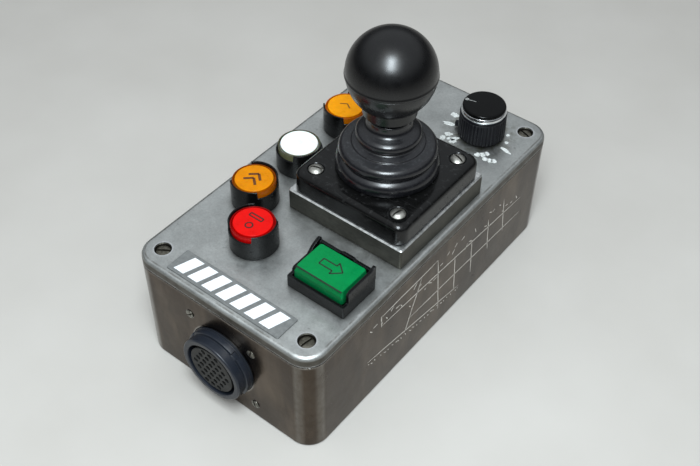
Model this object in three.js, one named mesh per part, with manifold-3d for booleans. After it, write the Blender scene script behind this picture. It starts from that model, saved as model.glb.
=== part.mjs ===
// Pendant control station: a die-cast box with a two-axis joystick, four round push-buttons,
// one rectangular push-button, a rotary control knob and a round multi-way socket.
//
// Millimetres, +Z up. The origin is the centre of the underside. +X is the right-hand side and
// +Y points away from the face that carries the socket.

import * as THREE from "three";
import { mergeVertices } from "three/addons/utils/BufferGeometryUtils.js";
import Module from "manifold-3d";

const wasm = await Module();
wasm.setup();

// ---------------------------------------------------------------- driving dimensions

// Box
const CASE_WIDTH = 81;
const CASE_LENGTH = 150;
const CASE_CORNER = 8.3;
const CASE_WALL = 3;
const CASE_FLOOR = 3;
const BODY_TOP = 44.4;
const SEAM_GAP = 0.2;
const LID_TOP = 49.3;
const LID_PLATE = 2.5;
const LID_EDGE = 1.8;
const LID_RIM = 4.5;
const LID_SCREW_X = 32.7;
const LID_SCREW_Y = 67.1;
const LID_BOSS_RADIUS = 5.2;
const LID_COUNTERBORE_RADIUS = 3;
const LID_COUNTERBORE_DEPTH = 2.6;
const LABEL_WIDTH = 50.4;
const LABEL_DEPTH = 10.3;
const LABEL_Y = -67.4;

// Joystick
const STICK_X = 12.8;
const STICK_Y = 1.8;
const PIVOT_Z = 38;
const PLINTH_SIZE = 50.4;
const PLINTH_TOP = 58.2;
const BEZEL_SIZE = 48.6;
const BEZEL_TOP = 66.7;
const BEZEL_SCREW_PITCH = 36;
const BEZEL_OPENING_RADIUS = 17;
const FLANGE_RECESS_RADIUS = 19.4;
const FRAME_SIZE = 42;
const FRAME_INSIDE = 35;
const FRAME_BOTTOM = 16;
const STICK_HOLE_RADIUS = 16;
const BALL_RADIUS = 15.85;
const BALL_UPPER_RADIUS = 15.6;
const BALL_LOWER_RADIUS = 15.5;
const BALL_Z = 106.7;
const GRIP_NECK_BOTTOM = 90.8;
const GRIP_NECK_RADIUS = 9.5;

// Push-buttons: the round ones and the rectangular one share the same 16 mm panel hole
const PANEL_HOLE_RADIUS = 8;
const BARREL_RADIUS = 8.8;
const BARREL_TOP = 11;
const BARREL_STEP = 3;
const LENS_TOP = 10.6;
const LENS_DISC_RADIUS = 7;
const STEM_RADIUS = 3;
const STEM_BORE_RADIUS = 3.1;
const NECK_BOTTOM = -15;
// stepDeg is where the first tall quarter of the barrel begins; tall is how many quarters are tall.
const ROUND_BUTTONS = [
  { name: "red_button", x: -9.8, y: -44.9, stepDeg: -52, tall: 2, color: 0xe01818 },
  { name: "amber_button_front", x: -24.4, y: -28.1, stepDeg: -130, tall: 2, color: 0xf09000 },
  { name: "white_button", x: -24.4, y: -3, stepDeg: -65, tall: 1, color: 0xf4f6f2 },
  { name: "amber_button_rear", x: -24.7, y: 25.4, stepDeg: -147, tall: 2, color: 0xf8a400 },
];
const GREEN_BUTTON_X = 24.35;
const GREEN_BUTTON_Y = -44.25;
const GREEN_WIDTH = 24.3;
const GREEN_DEPTH = 17.5;

// Control knob
const KNOB_X = 19.4;
const KNOB_Y = 55.5;
const KNOB_POINTER_DEG = -165;

// Socket in the front wall
const SOCKET_X = 0.45;
const SOCKET_Z = 21.4;
const SOCKET_SCREW_OFFSET = 14.2;
const SOCKET_RING_RADIUS = 13.9;
const SOCKET_MOUTH_RADIUS = 13.2;
const SOCKET_FLANGE_HALF = 17.4;
const SOCKET_PROUD = 6.5;
const CONTACT_PITCH = 2.95;
const CONTACT_ROWS = [3, 4, 5, 6, 5, 4, 3];

// Facets round a circle
const FINE = 28;
const MEDIUM = 20;
const COARSE = 8;
const DEG = Math.PI / 180;

// ---------------------------------------------------------------- solids

// A closed three.js geometry as a solid, whichever way its profile was drawn.
function solid(geometry) {
  const bare = geometry.index ? geometry.toNonIndexed() : geometry.clone();
  for (const attribute of ["normal", "uv"]) bare.deleteAttribute(attribute);
  const merged = mergeVertices(bare, 1e-4);
  const triVerts = new Uint32Array(merged.index.array);
  const vertProperties = merged.attributes.position.array;
  const build = () => new wasm.Manifold(new wasm.Mesh({ numProp: 3, vertProperties, triVerts }));
  const made = build();
  if (made.volume() > 0) return made;
  for (let i = 0; i < triVerts.length; i += 3) {
    const first = triVerts[i];
    triVerts[i] = triVerts[i + 1];
    triVerts[i + 1] = first;
  }
  return build();
}

function box(x0, x1, y0, y1, z0, z1) {
  const geometry = new THREE.BoxGeometry(x1 - x0, y1 - y0, z1 - z0);
  geometry.translate((x0 + x1) / 2, (y0 + y1) / 2, (z0 + z1) / 2);
  return solid(geometry);
}

// A cylinder between two points of one axis ("x", "y" or "z"), through (u, v) of the other two.
function rod(axis, radius, from, to, u = 0, v = 0, segments = MEDIUM) {
  const geometry = new THREE.CylinderGeometry(radius, radius, to - from, segments);
  const middle = (from + to) / 2;
  if (axis === "x") geometry.rotateZ(-Math.PI / 2).translate(middle, u, v);
  if (axis === "y") geometry.translate(u, middle, v);
  if (axis === "z") geometry.rotateX(Math.PI / 2).translate(u, v, middle);
  return solid(geometry);
}

// A profile of [radius, height] points turned about Z.
function turned(profile, segments = MEDIUM) {
  const points = profile.map(([radius, height]) => new THREE.Vector2(radius, height));
  return solid(new THREE.LatheGeometry(points, segments).rotateX(Math.PI / 2));
}

// The same profile turned into a closed ring: its last point joins its first.
function turnedRing(profile, segments = MEDIUM) {
  return turned([...profile, profile[0]], segments);
}

// A profile turned about Y, for the pieces of the socket: [radius, y].
function turnedY(profile, segments = MEDIUM) {
  const points = profile.map(([radius, y]) => new THREE.Vector2(radius, y));
  return solid(new THREE.LatheGeometry(points, segments));
}

function roundedOutline(width, depth, corner) {
  const x = width / 2;
  const y = depth / 2;
  const outline = new THREE.Shape();
  outline.moveTo(-x + corner, -y);
  outline.lineTo(x - corner, -y);
  outline.absarc(x - corner, -y + corner, corner, -Math.PI / 2, 0);
  outline.lineTo(x, y - corner);
  outline.absarc(x - corner, y - corner, corner, 0, Math.PI / 2);
  outline.lineTo(-x + corner, y);
  outline.absarc(-x + corner, y - corner, corner, Math.PI / 2, Math.PI);
  outline.lineTo(-x, -y + corner);
  outline.absarc(-x + corner, -y + corner, corner, Math.PI, 1.5 * Math.PI);
  return outline;
}

function slab(outline, z0, z1, curveSegments = 8) {
  const settings = { depth: z1 - z0, bevelEnabled: false, curveSegments };
  return solid(new THREE.ExtrudeGeometry(outline, settings).translate(0, 0, z0));
}

// A slab whose upper edge is rounded by edge; steps is the number of facets across the rounding.
function softSlab(outline, z0, z1, edge, steps, curveSegments = 8) {
  const geometry = new THREE.ExtrudeGeometry(outline, {
    depth: z1 - z0 - edge,
    bevelEnabled: true,
    bevelThickness: edge,
    bevelSize: edge,
    bevelOffset: -edge,
    bevelSegments: steps,
    curveSegments,
  });
  geometry.translate(0, 0, z0);
  const below = box(-200, 200, -200, 200, z0 - 2 * edge, z0 + 0.01);
  const plain = slab(outline, z0, z1 - edge - 0.01, curveSegments);
  return solid(geometry).subtract(below).add(plain);
}

function hexagon(acrossFlats) {
  const outline = new THREE.Shape();
  const radius = acrossFlats / 2 / Math.cos(30 * DEG);
  for (let i = 0; i < 6; i += 1) {
    const x = radius * Math.cos(60 * i * DEG);
    const y = radius * Math.sin(60 * i * DEG);
    if (i === 0) outline.moveTo(x, y);
    else outline.lineTo(x, y);
  }
  return outline;
}

// A pie-shaped cutter between two directions, for the stepped barrels.
function sector(radius, fromDeg, toDeg, z0, z1) {
  const outline = new THREE.Shape();
  outline.moveTo(0, 0);
  outline.absarc(0, 0, radius, fromDeg * DEG, toDeg * DEG);
  outline.lineTo(0, 0);
  return slab(outline, z0, z1, 12);
}

function cut(from, ...pieces) {
  return pieces.reduce((left, piece) => left.subtract(piece), from);
}

function joined(...pieces) {
  return pieces.reduce((sum, piece) => sum.add(piece));
}

// ---------------------------------------------------------------- scene graph helpers

function mesh(name, shape, color, roughness, metalness) {
  const result = shape.getMesh();
  const stride = result.numProp;
  const positions = new Float32Array(result.numVert * 3);
  for (let i = 0; i < result.numVert; i += 1) {
    positions.set(result.vertProperties.subarray(i * stride, i * stride + 3), i * 3);
  }
  const geometry = new THREE.BufferGeometry();
  geometry.setAttribute("position", new THREE.BufferAttribute(positions, 3));
  geometry.setIndex(new THREE.BufferAttribute(result.triVerts, 1));
  geometry.computeVertexNormals();
  const made = new THREE.Mesh(geometry, new THREE.MeshStandardMaterial({ color, roughness, metalness }));
  made.name = name;
  return made;
}

function groupAt(x, y, z, ...children) {
  const group = new THREE.Group();
  group.position.set(x, y, z);
  group.add(...children);
  return group;
}

const castAluminium = (name, shape) => mesh(name, shape, 0x8f9498, 0.45, 0.9);
const blackPlastic = (name, shape) => mesh(name, shape, 0x101214, 0.4, 0);
const steel = (name, shape) => mesh(name, shape, 0xb4b4ae, 0.35, 1);
const brass = (name, shape) => mesh(name, shape, 0x9a8a5c, 0.5, 1);

// The four corners of a rectangle: [suffix, x, y].
function corners(x, y) {
  return [
    ["front_left", -x, -y],
    ["front_right", x, -y],
    ["rear_left", -x, y],
    ["rear_right", x, y],
  ];
}

// A slotted screw, head up, with the underside of the head at z = 0.
function slottedScrew(headRadius, headHeight, dome, shankRadius, shankLength, slotWidth) {
  const head = turned(
    [
      [0, 0],
      [headRadius, 0],
      [headRadius, headHeight - dome],
      [headRadius * 0.75, headHeight - dome * 0.3],
      [0, headHeight],
    ],
    COARSE,
  );
  const shank = rod("z", shankRadius, -shankLength, 0.2, 0, 0, 8);
  const slotFloor = headHeight - 0.8;
  const reach = 2 * headRadius;
  const slot = box(-reach, reach, -slotWidth / 2, slotWidth / 2, slotFloor, headHeight + 1);
  return cut(joined(head, shank), slot);
}

// ---------------------------------------------------------------- the box and its lid

function enclosureBody() {
  const bossHole = { radius: 1.7, depth: 17 };
  let shape = slab(roundedOutline(CASE_WIDTH, CASE_LENGTH, CASE_CORNER), 0, BODY_TOP, 5);
  const inner = roundedOutline(
    CASE_WIDTH - 2 * CASE_WALL,
    CASE_LENGTH - 2 * CASE_WALL,
    CASE_CORNER - CASE_WALL,
  );
  shape = shape.subtract(slab(inner, CASE_FLOOR, BODY_TOP + 1, 4));
  for (const [, x, y] of corners(LID_SCREW_X, LID_SCREW_Y)) {
    shape = shape.add(rod("z", LID_BOSS_RADIUS, CASE_FLOOR - 1, BODY_TOP, x, y, 16));
    shape = shape.subtract(rod("z", bossHole.radius, BODY_TOP - bossHole.depth, BODY_TOP + 1, x, y, 8));
  }
  const wallFront = -CASE_LENGTH / 2 - 1;
  const wallBack = -CASE_LENGTH / 2 + CASE_WALL + 1;
  const socketHoleRadius = SOCKET_RING_RADIUS + 0.25;
  shape = shape.subtract(rod("y", socketHoleRadius, wallFront, wallBack, SOCKET_X, SOCKET_Z, FINE));
  for (const [, x, z] of corners(SOCKET_SCREW_OFFSET, SOCKET_SCREW_OFFSET)) {
    shape = shape.subtract(rod("y", 1.45, wallFront, wallBack, SOCKET_X + x, SOCKET_Z + z, 12));
  }
  return castAluminium("enclosure_body", shape);
}

function lid() {
  const outline = roundedOutline(CASE_WIDTH, CASE_LENGTH, CASE_CORNER);
  const bottom = BODY_TOP + SEAM_GAP;
  const underside = LID_TOP - LID_PLATE;
  let shape = softSlab(outline, bottom, LID_TOP, LID_EDGE, 2, 5);
  const pocketOutline = roundedOutline(
    CASE_WIDTH - 2 * LID_RIM,
    CASE_LENGTH - 2 * LID_RIM,
    CASE_CORNER - LID_RIM,
  );
  let pocket = slab(pocketOutline, bottom - 1, underside, 4);
  for (const [, x, y] of corners(LID_SCREW_X, LID_SCREW_Y)) {
    pocket = pocket.subtract(rod("z", LID_BOSS_RADIUS + 1, 0, LID_TOP, x, y, 16));
  }
  shape = shape.subtract(pocket);
  const through = (radius, x, y, segments) => rod("z", radius, bottom - 1, LID_TOP + 1, x, y, segments);
  for (const [, x, y] of corners(LID_SCREW_X, LID_SCREW_Y)) {
    const seat = rod("z", LID_COUNTERBORE_RADIUS, LID_TOP - LID_COUNTERBORE_DEPTH, LID_TOP + 1, x, y, 16);
    shape = cut(shape, through(2.1, x, y, 16), seat);
  }
  for (const { x, y } of ROUND_BUTTONS) shape = shape.subtract(through(PANEL_HOLE_RADIUS, x, y, MEDIUM));
  shape = shape.subtract(through(PANEL_HOLE_RADIUS, GREEN_BUTTON_X, GREEN_BUTTON_Y, MEDIUM));
  shape = shape.subtract(through(3.4, KNOB_X, KNOB_Y, 20));
  shape = shape.subtract(through(STICK_HOLE_RADIUS, STICK_X, STICK_Y, MEDIUM));
  for (const [, x, y] of corners(BEZEL_SCREW_PITCH / 2, BEZEL_SCREW_PITCH / 2)) {
    shape = shape.subtract(through(1.7, STICK_X + x, STICK_Y + y, 12));
  }
  return castAluminium("lid", shape);
}

function lidScrews() {
  const headSeat = LID_TOP - LID_COUNTERBORE_DEPTH + 0.05;
  return corners(LID_SCREW_X, LID_SCREW_Y).map(([corner, x, y], i) => {
    const screw = brass("lid_screw_" + corner, slottedScrew(2.85, 1.9, 0.3, 1.55, 14, 0.8));
    screw.position.set(x, y, headSeat);
    screw.rotation.z = (20 + 47 * i) * DEG;
    return screw;
  });
}

function labelPlate() {
  const shape = slab(roundedOutline(LABEL_WIDTH, LABEL_DEPTH, 0.4), 0.03, 0.35, 2);
  const plate = mesh("label_plate", shape, 0x55585a, 0.6, 0.3);
  plate.position.set(-0.2, LABEL_Y, LID_TOP);
  return plate;
}

// ---------------------------------------------------------------- the joystick

function joystickPlinth() {
  const height = PLINTH_TOP - LID_TOP;
  const edge = 0.5;
  let shape = softSlab(roundedOutline(PLINTH_SIZE, PLINTH_SIZE, 0.8), 0.05, height, edge, 1, 3);
  shape = shape.subtract(rod("z", STICK_HOLE_RADIUS, -1, height + 1));
  for (const [, x, y] of corners(BEZEL_SCREW_PITCH / 2, BEZEL_SCREW_PITCH / 2)) {
    shape = shape.subtract(rod("z", 1.7, -1, height + 1, x, y, 8));
  }
  const plinth = castAluminium("joystick_plinth", shape);
  plinth.position.z = LID_TOP;
  return plinth;
}

function bootBezel() {
  const height = BEZEL_TOP - PLINTH_TOP;
  const edge = 2.2;
  let shape = softSlab(roundedOutline(BEZEL_SIZE, BEZEL_SIZE, 4.2), 0.05, height, edge, 2, 3);
  const flangeRecess = rod("z", FLANGE_RECESS_RADIUS, -1, 1.7, 0, 0, FINE);
  shape = cut(shape, flangeRecess, rod("z", BEZEL_OPENING_RADIUS, -1, height + 1, 0, 0, FINE));
  for (const [, x, y] of corners(BEZEL_SCREW_PITCH / 2, BEZEL_SCREW_PITCH / 2)) {
    const seat = rod("z", 3.1, height - 1, height + 1, x, y, 16);
    shape = cut(shape, rod("z", 1.5, -1, height + 1, x, y, 8), seat);
  }
  const bezel = blackPlastic("boot_bezel", shape);
  bezel.position.z = PLINTH_TOP;
  return bezel;
}

function bezelScrews() {
  const offset = BEZEL_SCREW_PITCH / 2;
  return corners(offset, offset).map(([corner, x, y], i) => {
    const screw = steel("bezel_screw_" + corner, slottedScrew(2.8, 2, 0.9, 1.15, 26, 0.7));
    screw.position.set(x, y, BEZEL_TOP - 0.95);
    screw.rotation.z = (65 - 50 * i) * DEG;
    return screw;
  });
}

// The bellows that closes the joystick's opening: a flange under the bezel, a bead, two folds and a neck.
function rubberBoot() {
  const flange = PLINTH_TOP + 0.15;
  const top = GRIP_NECK_BOTTOM - 0.4;
  const outside = [
    [16.7, 0.2],
    [18.3, 0.25],
    [18.65, 1.2],
    [18.6, 3],
    [18, 4.6],
    [16.9, 5.6],
    [16.2, 6],
    [17, 6.6],
    [17.6, 8.2],
    [17, 9.9],
    [15.8, 10.8],
    [12.9, 11.2],
    [10.4, 12.6],
    [10.4, 13.3],
    [11.6, 14.4],
    [11.6, 15.9],
    [10.6, 17.2],
    [8.2, 18.3],
    [7.3, 19.3],
    [7.1, 21.2],
    [6.5, 21.8],
  ];
  const inside = [
    [5.4, 21],
    [5.8, 18.6],
    [7.4, 17.2],
    [9.9, 16.1],
    [10.4, 15.2],
    [9.2, 13.6],
    [9.2, 11.8],
    [12.2, 10.2],
    [15.2, 9.8],
    [16.2, 8.2],
    [14.9, 6],
    [16.9, 4],
    [17.2, 1.8],
    [15.3, 0.9],
  ];
  const aboveBezel = (points) => points.map(([radius, height]) => [radius, BEZEL_TOP + height]);
  const profile = [
    [19.2, flange],
    [19.2, flange + 1.4],
    [16.7, flange + 1.5],
    ...aboveBezel(outside),
    [6.5, top],
    [4.4, top],
    ...aboveBezel(inside),
    [15.3, flange],
  ];
  return mesh("rubber_boot", turnedRing(profile), 0x0c0d0f, 0.35, 0);
}

// The box of the joystick under the lid: its four corner posts take the bezel screws.
function joystickFrame() {
  const half = FRAME_SIZE / 2;
  const inside = FRAME_INSIDE / 2;
  const top = LID_TOP - LID_PLATE - 0.2;
  const post = BEZEL_SCREW_PITCH / 2;
  let shape = slab(roundedOutline(FRAME_SIZE, FRAME_SIZE, 1.5), FRAME_BOTTOM, top, 3);
  shape = shape.subtract(box(-inside, inside, -inside, inside, FRAME_BOTTOM + 2.5, top + 1));
  for (const [, x, y] of corners(post, post)) {
    shape = shape.add(rod("z", 2.9, FRAME_BOTTOM + 1, top, x, y, 16));
    shape = shape.subtract(rod("z", 1.3, top - 12, top + 1, x, y, 8));
  }
  shape = shape.subtract(rod("x", 2.1, -half - 1, half + 1, 0, PIVOT_Z, 24));
  return mesh("joystick_frame", shape, 0x24262a, 0.5, 0);
}

function potentiometer(name, radius, thickness, bore, boreDepth, tagLength) {
  const tags = [-1, 0, 1].map((i) => box(i * 2.2 - 0.5, i * 2.2 + 0.5, -radius - tagLength, 0, 0.9, 1.4));
  const shape = cut(
    joined(rod("z", radius, 0, thickness, 0, 0, 16), ...tags),
    rod("z", bore, -1, boreDepth, 0, 0, 16),
  );
  return mesh(name, shape, 0x2c4a36, 0.5, 0.1);
}

// A torsion spring seen as its coiled envelope with its two legs.
function torsionSpring(name, outer, inner, thickness) {
  const coil = cut(rod("z", outer, 0, thickness, 0, 0, 16), rod("z", inner, -1, thickness + 1, 0, 0, 16));
  const leg = (x, z) => box(x - 0.4, x + 0.4, outer - 0.7, outer + 3.5, z, z + 0.8);
  return steel(name, joined(coil, leg(-1.6, 0), leg(1.6, thickness - 0.8)));
}

function gimbalRing() {
  const outer = 11;
  const inner = 7.5;
  const half = 3;
  const shape = cut(
    joined(
      box(-outer, outer, -outer, outer, -half, half),
      rod("x", 2, -25.4, -outer + 1, 0, 0, 16),
      rod("x", 2, outer - 1, 23.5, 0, 0, 16),
    ),
    box(-inner, inner, -inner, inner, -half - 1, half + 1),
    rod("y", 1.9, -outer - 1, outer + 1, 0, 0, 16),
  );
  return steel("gimbal_ring", shape);
}

function stickShaft() {
  const grip = BALL_Z - 8 - PIVOT_Z;
  return steel(
    "stick_shaft",
    joined(
      rod("z", 4, 0, grip, 0, 0, 16),
      rod("z", 5, -4, 4, 0, 0, 16),
      rod("y", 1.8, -13.5, 14, 0, 0, 16),
      rod("z", 2.4, -13, 0, 0, 0, 16),
    ),
  );
}

// The grip is one turned moulding: a neck, a slightly smaller lower half, a ridge and an upper half.
function ballGrip() {
  const centre = BALL_Z - PIVOT_Z;
  const neckBottom = GRIP_NECK_BOTTOM - PIVOT_Z;
  const steps = 6;
  const lowerStart = Math.asin(GRIP_NECK_RADIUS / BALL_LOWER_RADIUS);
  const lowerEnd = 86 * DEG;
  const upperStart = 2 * DEG;
  const profile = [
    [0, neckBottom],
    [GRIP_NECK_RADIUS - 0.3, neckBottom],
    [GRIP_NECK_RADIUS, neckBottom + 0.3],
  ];
  for (let i = 0; i <= steps; i += 1) {
    const turn = lowerStart + ((lowerEnd - lowerStart) * i) / steps;
    profile.push([BALL_LOWER_RADIUS * Math.sin(turn), centre - BALL_LOWER_RADIUS * Math.cos(turn)]);
  }
  profile.push([BALL_RADIUS, centre - 0.6], [BALL_RADIUS, centre]);
  for (let i = 0; i <= steps; i += 1) {
    const turn = upperStart + ((Math.PI / 2 - upperStart) * i) / steps;
    const radius = i < steps ? BALL_UPPER_RADIUS * Math.cos(turn) : 0;
    profile.push([radius, centre + BALL_UPPER_RADIUS * Math.sin(turn)]);
  }
  const bore = rod("z", 4.05, 0, centre - 7.5, 0, 0, 16);
  return mesh("ball_grip", cut(turned(profile, FINE), bore), 0x0a0a0b, 0.12, 0);
}

function joystick() {
  const springX = torsionSpring("centring_spring_x", 4.4, 2.5, 2);
  springX.rotation.y = Math.PI / 2;
  springX.position.set(FRAME_SIZE / 2 + 0.2, 0, PIVOT_Z);
  const potX = potentiometer("joystick_pot_x", 6.5, 5, 2.15, 4.6, 2);
  potX.rotation.set(Math.PI / 2, -Math.PI / 2, 0);
  potX.position.set(-FRAME_SIZE / 2 - 0.2, 0, PIVOT_Z);

  const springY = torsionSpring("centring_spring_y", 4, 2.3, 2);
  springY.rotation.x = -Math.PI / 2;
  springY.position.set(0, -13.2, 0);
  const potY = potentiometer("joystick_pot_y", 4, 3.5, 1.95, 3.2, 1);
  potY.rotation.set(-Math.PI / 2, 0, Math.PI);
  potY.position.set(0, 11.2, 0);
  const gimbal = groupAt(0, 0, PIVOT_Z, gimbalRing(), springY, potY);
  const stick = groupAt(0, 0, PIVOT_Z, stickShaft(), ballGrip());

  return groupAt(
    STICK_X,
    STICK_Y,
    0,
    joystickPlinth(),
    bootBezel(),
    ...bezelScrews(),
    rubberBoot(),
    joystickFrame(),
    springX,
    potX,
    gimbal,
    stick,
  );
}

// ---------------------------------------------------------------- push-buttons
// Each is drawn about its own axis, with z = 0 at the lid's top face.

function buttonNeck() {
  return rod("z", PANEL_HOLE_RADIUS - 0.15, NECK_BOTTOM, 0.5);
}

function roundBarrel(stepDeg, tall) {
  const walls = rod("z", BARREL_RADIUS, 0.05, BARREL_TOP);
  const cavity = rod("z", BARREL_RADIUS - 0.6, 2, BARREL_TOP + 1);
  const lowParts = [90, 270, 180].slice(0, 4 - tall).map((turn) => {
    const begin = stepDeg + turn;
    return sector(BARREL_RADIUS + 2, begin, begin + 90, BARREL_TOP - BARREL_STEP, BARREL_TOP + 1);
  });
  const bore = rod("z", STEM_BORE_RADIUS, NECK_BOTTOM - 1, 3, 0, 0, 16);
  return cut(joined(walls, buttonNeck()), cavity, bore, ...lowParts);
}

// A lens with a raised disc inside a shallow moat; its stem reaches down to the switch.
function roundLens() {
  const rim = BARREL_RADIUS - 0.75;
  const rimTop = LENS_TOP - 0.4;
  const moatFloor = LENS_TOP - 1.3;
  const disc = LENS_DISC_RADIUS;
  return turned([
    [0, NECK_BOTTOM + 1.5],
    [STEM_RADIUS, NECK_BOTTOM + 1.5],
    [STEM_RADIUS, 4.5],
    [rim, 4.5],
    [rim, rimTop],
    [rim - 0.4, rimTop],
    [rim - 0.5, moatFloor],
    [disc + 0.2, moatFloor],
    [disc, LENS_TOP - 0.3],
    [disc - 0.3, LENS_TOP],
    [0, LENS_TOP],
  ]);
}

function greenHousing() {
  const x = GREEN_WIDTH / 2;
  const y = GREEN_DEPTH / 2;
  const wall = 1.2;
  const baseTop = 5.1;
  const sideStart = -y + 2.8;
  const side = (outer, points) => {
    const outline = new THREE.Shape(points.map(([along, up]) => new THREE.Vector2(along, up)));
    const geometry = new THREE.ExtrudeGeometry(outline, { depth: wall, bevelEnabled: false });
    geometry.rotateX(Math.PI / 2).rotateZ(Math.PI / 2);
    return solid(geometry.translate(outer < 0 ? outer : outer - wall, 0, 0));
  };
  const leftWall = side(-x, [
    [sideStart, 3],
    [y, 3],
    [y, 10],
    [y - 4.6, 10],
    [y - 6.9, 7],
    [sideStart, 7],
  ]);
  const rightWall = side(x, [
    [sideStart, 3],
    [y, 3],
    [y, 11.2],
    [y - 2.4, 10.2],
    [sideStart, 10],
  ]);
  const rearWall = box(-x, x, y - wall, y, 3, 8);
  const cavity = box(-x + wall, x - wall, -y + wall, y - wall, 2, 20);
  const bore = rod("z", STEM_BORE_RADIUS, NECK_BOTTOM - 1, 3, 0, 0, 16);
  const base = box(-x, x, -y, y, 0.05, baseTop);
  return cut(joined(base, leftWall, rightWall, rearWall, buttonNeck()), cavity, bore);
}

function greenLens() {
  const width = 20.9;
  const depth = 14.4;
  const offsetY = -0.15;
  const body = softSlab(roundedOutline(width, depth, 1.2), 4.5, 9.8, 0.9, 2, 3);
  const stem = rod("z", STEM_RADIUS, NECK_BOTTOM + 1.5, 5, 0, 0, 16);
  return joined(body.translate([0, offsetY, 0]), stem);
}

function buttonParts(name, housing, lens, lensColor) {
  const underside = -LID_PLATE;
  const nut = cut(slab(hexagon(19), underside - 3, underside - 0.1), rod("z", 8.05, -20, 0));
  const contactTop = NECK_BOTTOM - 0.15;
  const contactSize = 6.8;
  const contactBox = box(-contactSize, contactSize, -contactSize, contactSize, contactTop - 11, contactTop);
  const plungerHole = rod("z", STEM_BORE_RADIUS, contactTop - 4, contactTop + 1, 0, 0, 16);
  const pins = [-1, 1].flatMap((i) => [-1, 1].map((j) => [i * 3.6, j * 3.6]));
  const pin = ([x, y]) => box(x - 0.9, x + 0.9, y - 0.3, y + 0.3, contactTop - 15, contactTop - 10.5);
  const contact = cut(joined(contactBox, ...pins.map(pin)), plungerHole);
  return [
    blackPlastic(name + "_housing", housing),
    mesh(name + "_lens", lens, lensColor, 0.25, 0),
    mesh(name + "_nut", nut, 0x3a3c40, 0.5, 0),
    mesh(name + "_switch", contact, 0x2a3a5a, 0.5, 0),
  ];
}

function buttons() {
  const round = ROUND_BUTTONS.map((button) =>
    groupAt(
      button.x,
      button.y,
      LID_TOP,
      ...buttonParts(button.name, roundBarrel(button.stepDeg, button.tall), roundLens(), button.color),
    ),
  );
  const green = buttonParts("green_button", greenHousing(), greenLens(), 0x009a48);
  return [...round, groupAt(GREEN_BUTTON_X, GREEN_BUTTON_Y, LID_TOP, ...green)];
}

// ---------------------------------------------------------------- control knob
// Drawn about its own axis, with z = 0 at the lid's top face.

function knobSkirt() {
  const ribs = 20;
  const body = turned(
    [
      [0, 0.8],
      [9.3, 0.8],
      [9.1, 11],
      [8.8, 11.5],
      [0, 11.5],
    ],
    FINE,
  );
  const hollow = rod("z", 7.2, 0, 4.6);
  const shaftBore = rod("z", 3.05, 0, 9, 0, 0, 16);
  let shape = cut(body, hollow, shaftBore);
  for (let i = 0; i < ribs; i += 1) {
    const angle = ((i + 0.5) / ribs) * 2 * Math.PI;
    const groove = rod("z", 0.45, 0, 9.6, 9.45 * Math.cos(angle), 9.45 * Math.sin(angle), 4);
    shape = shape.subtract(groove);
  }
  const nib = box(-0.9, 0.9, 8.6, 10.8, 0.8, 3);
  return blackPlastic("knob_skirt", shape.add(nib));
}

function knobRing() {
  const profile = [
    [6.1, 11.6],
    [8.85, 11.6],
    [8.85, 12.6],
    [8.5, 13.2],
    [6.1, 13.2],
  ];
  return mesh("knob_ring", turnedRing(profile, FINE), 0xd6d8da, 0.2, 1);
}

function knobCap() {
  const shape = turned(
    [
      [0, 11.7],
      [6, 11.7],
      [6, 13.3],
      [8.5, 13.3],
      [8.5, 14.2],
      [8.1, 14.7],
      [0, 14.7],
    ],
    FINE,
  );
  const pointerGroove = box(-0.35, 0.35, 3, 9, 14.4, 16);
  return blackPlastic("knob_cap", shape.subtract(pointerGroove));
}

function potBody() {
  const underside = -LID_PLATE - 0.1;
  const tagTop = underside - 4;
  const tags = [-1, 0, 1].map((i) => box(i * 4 - 0.8, i * 4 + 0.8, -12.5, -7, tagTop - 0.5, tagTop));
  const can = rod("z", 8.2, underside - 11, underside);
  const bushing = rod("z", 3.3, underside - 1, 3.6, 0, 0, 16);
  const bore = rod("z", 2.1, underside - 8, 6, 0, 0, 16);
  return mesh("speed_pot_body", cut(joined(can, bushing, ...tags), bore), 0x7c7f80, 0.4, 0.8);
}

function potNut() {
  const shape = cut(slab(hexagon(10), 0.1, 2.3), rod("z", 3.42, -1, 4, 0, 0, 16));
  return steel("speed_pot_nut", shape);
}

function potShaft() {
  const shape = joined(
    rod("z", 2, -LID_PLATE - 7.6, 4, 0, 0, 16),
    rod("z", 3, 3.9, 8.8, 0, 0, 16),
  );
  return steel("speed_pot_shaft", shape);
}

function controlKnob() {
  const turning = groupAt(0, 0, 0, knobSkirt(), knobRing(), knobCap(), potShaft());
  turning.rotation.z = (KNOB_POINTER_DEG - 90) * DEG;
  return groupAt(KNOB_X, KNOB_Y, LID_TOP, potBody(), potNut(), turning);
}

// ---------------------------------------------------------------- socket in the front wall
// Drawn about its own axis, with y = 0 at the wall's face.

function socketShell() {
  const flangeFront = CASE_WALL + 0.2;
  const flangeBack = flangeFront + 2;
  const front = -SOCKET_PROUD;
  const half = SOCKET_FLANGE_HALF;
  const barrel = turnedY(
    [
      [0, front],
      [SOCKET_MOUTH_RADIUS - 0.4, front],
      [SOCKET_MOUTH_RADIUS, front + 0.4],
      [SOCKET_MOUTH_RADIUS, -3.4],
      [12.9, -3.3],
      [12.9, -3],
      [SOCKET_RING_RADIUS, -2.9],
      [SOCKET_RING_RADIUS, flangeFront + 0.5],
      [12.4, flangeFront + 0.5],
      [12.4, 14],
      [0, 14],
    ],
    FINE,
  );
  let shape = joined(barrel, box(-half, half, flangeFront, flangeBack, -half, half));
  shape = cut(shape, rod("y", 10.95, front - 1, -1), rod("y", 9.85, -2, 15));
  for (const [, x, z] of corners(SOCKET_SCREW_OFFSET, SOCKET_SCREW_OFFSET)) {
    shape = shape.subtract(rod("y", 1.45, 0, 10, x, z, 8));
  }
  return blackPlastic("socket_shell", shape);
}

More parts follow.
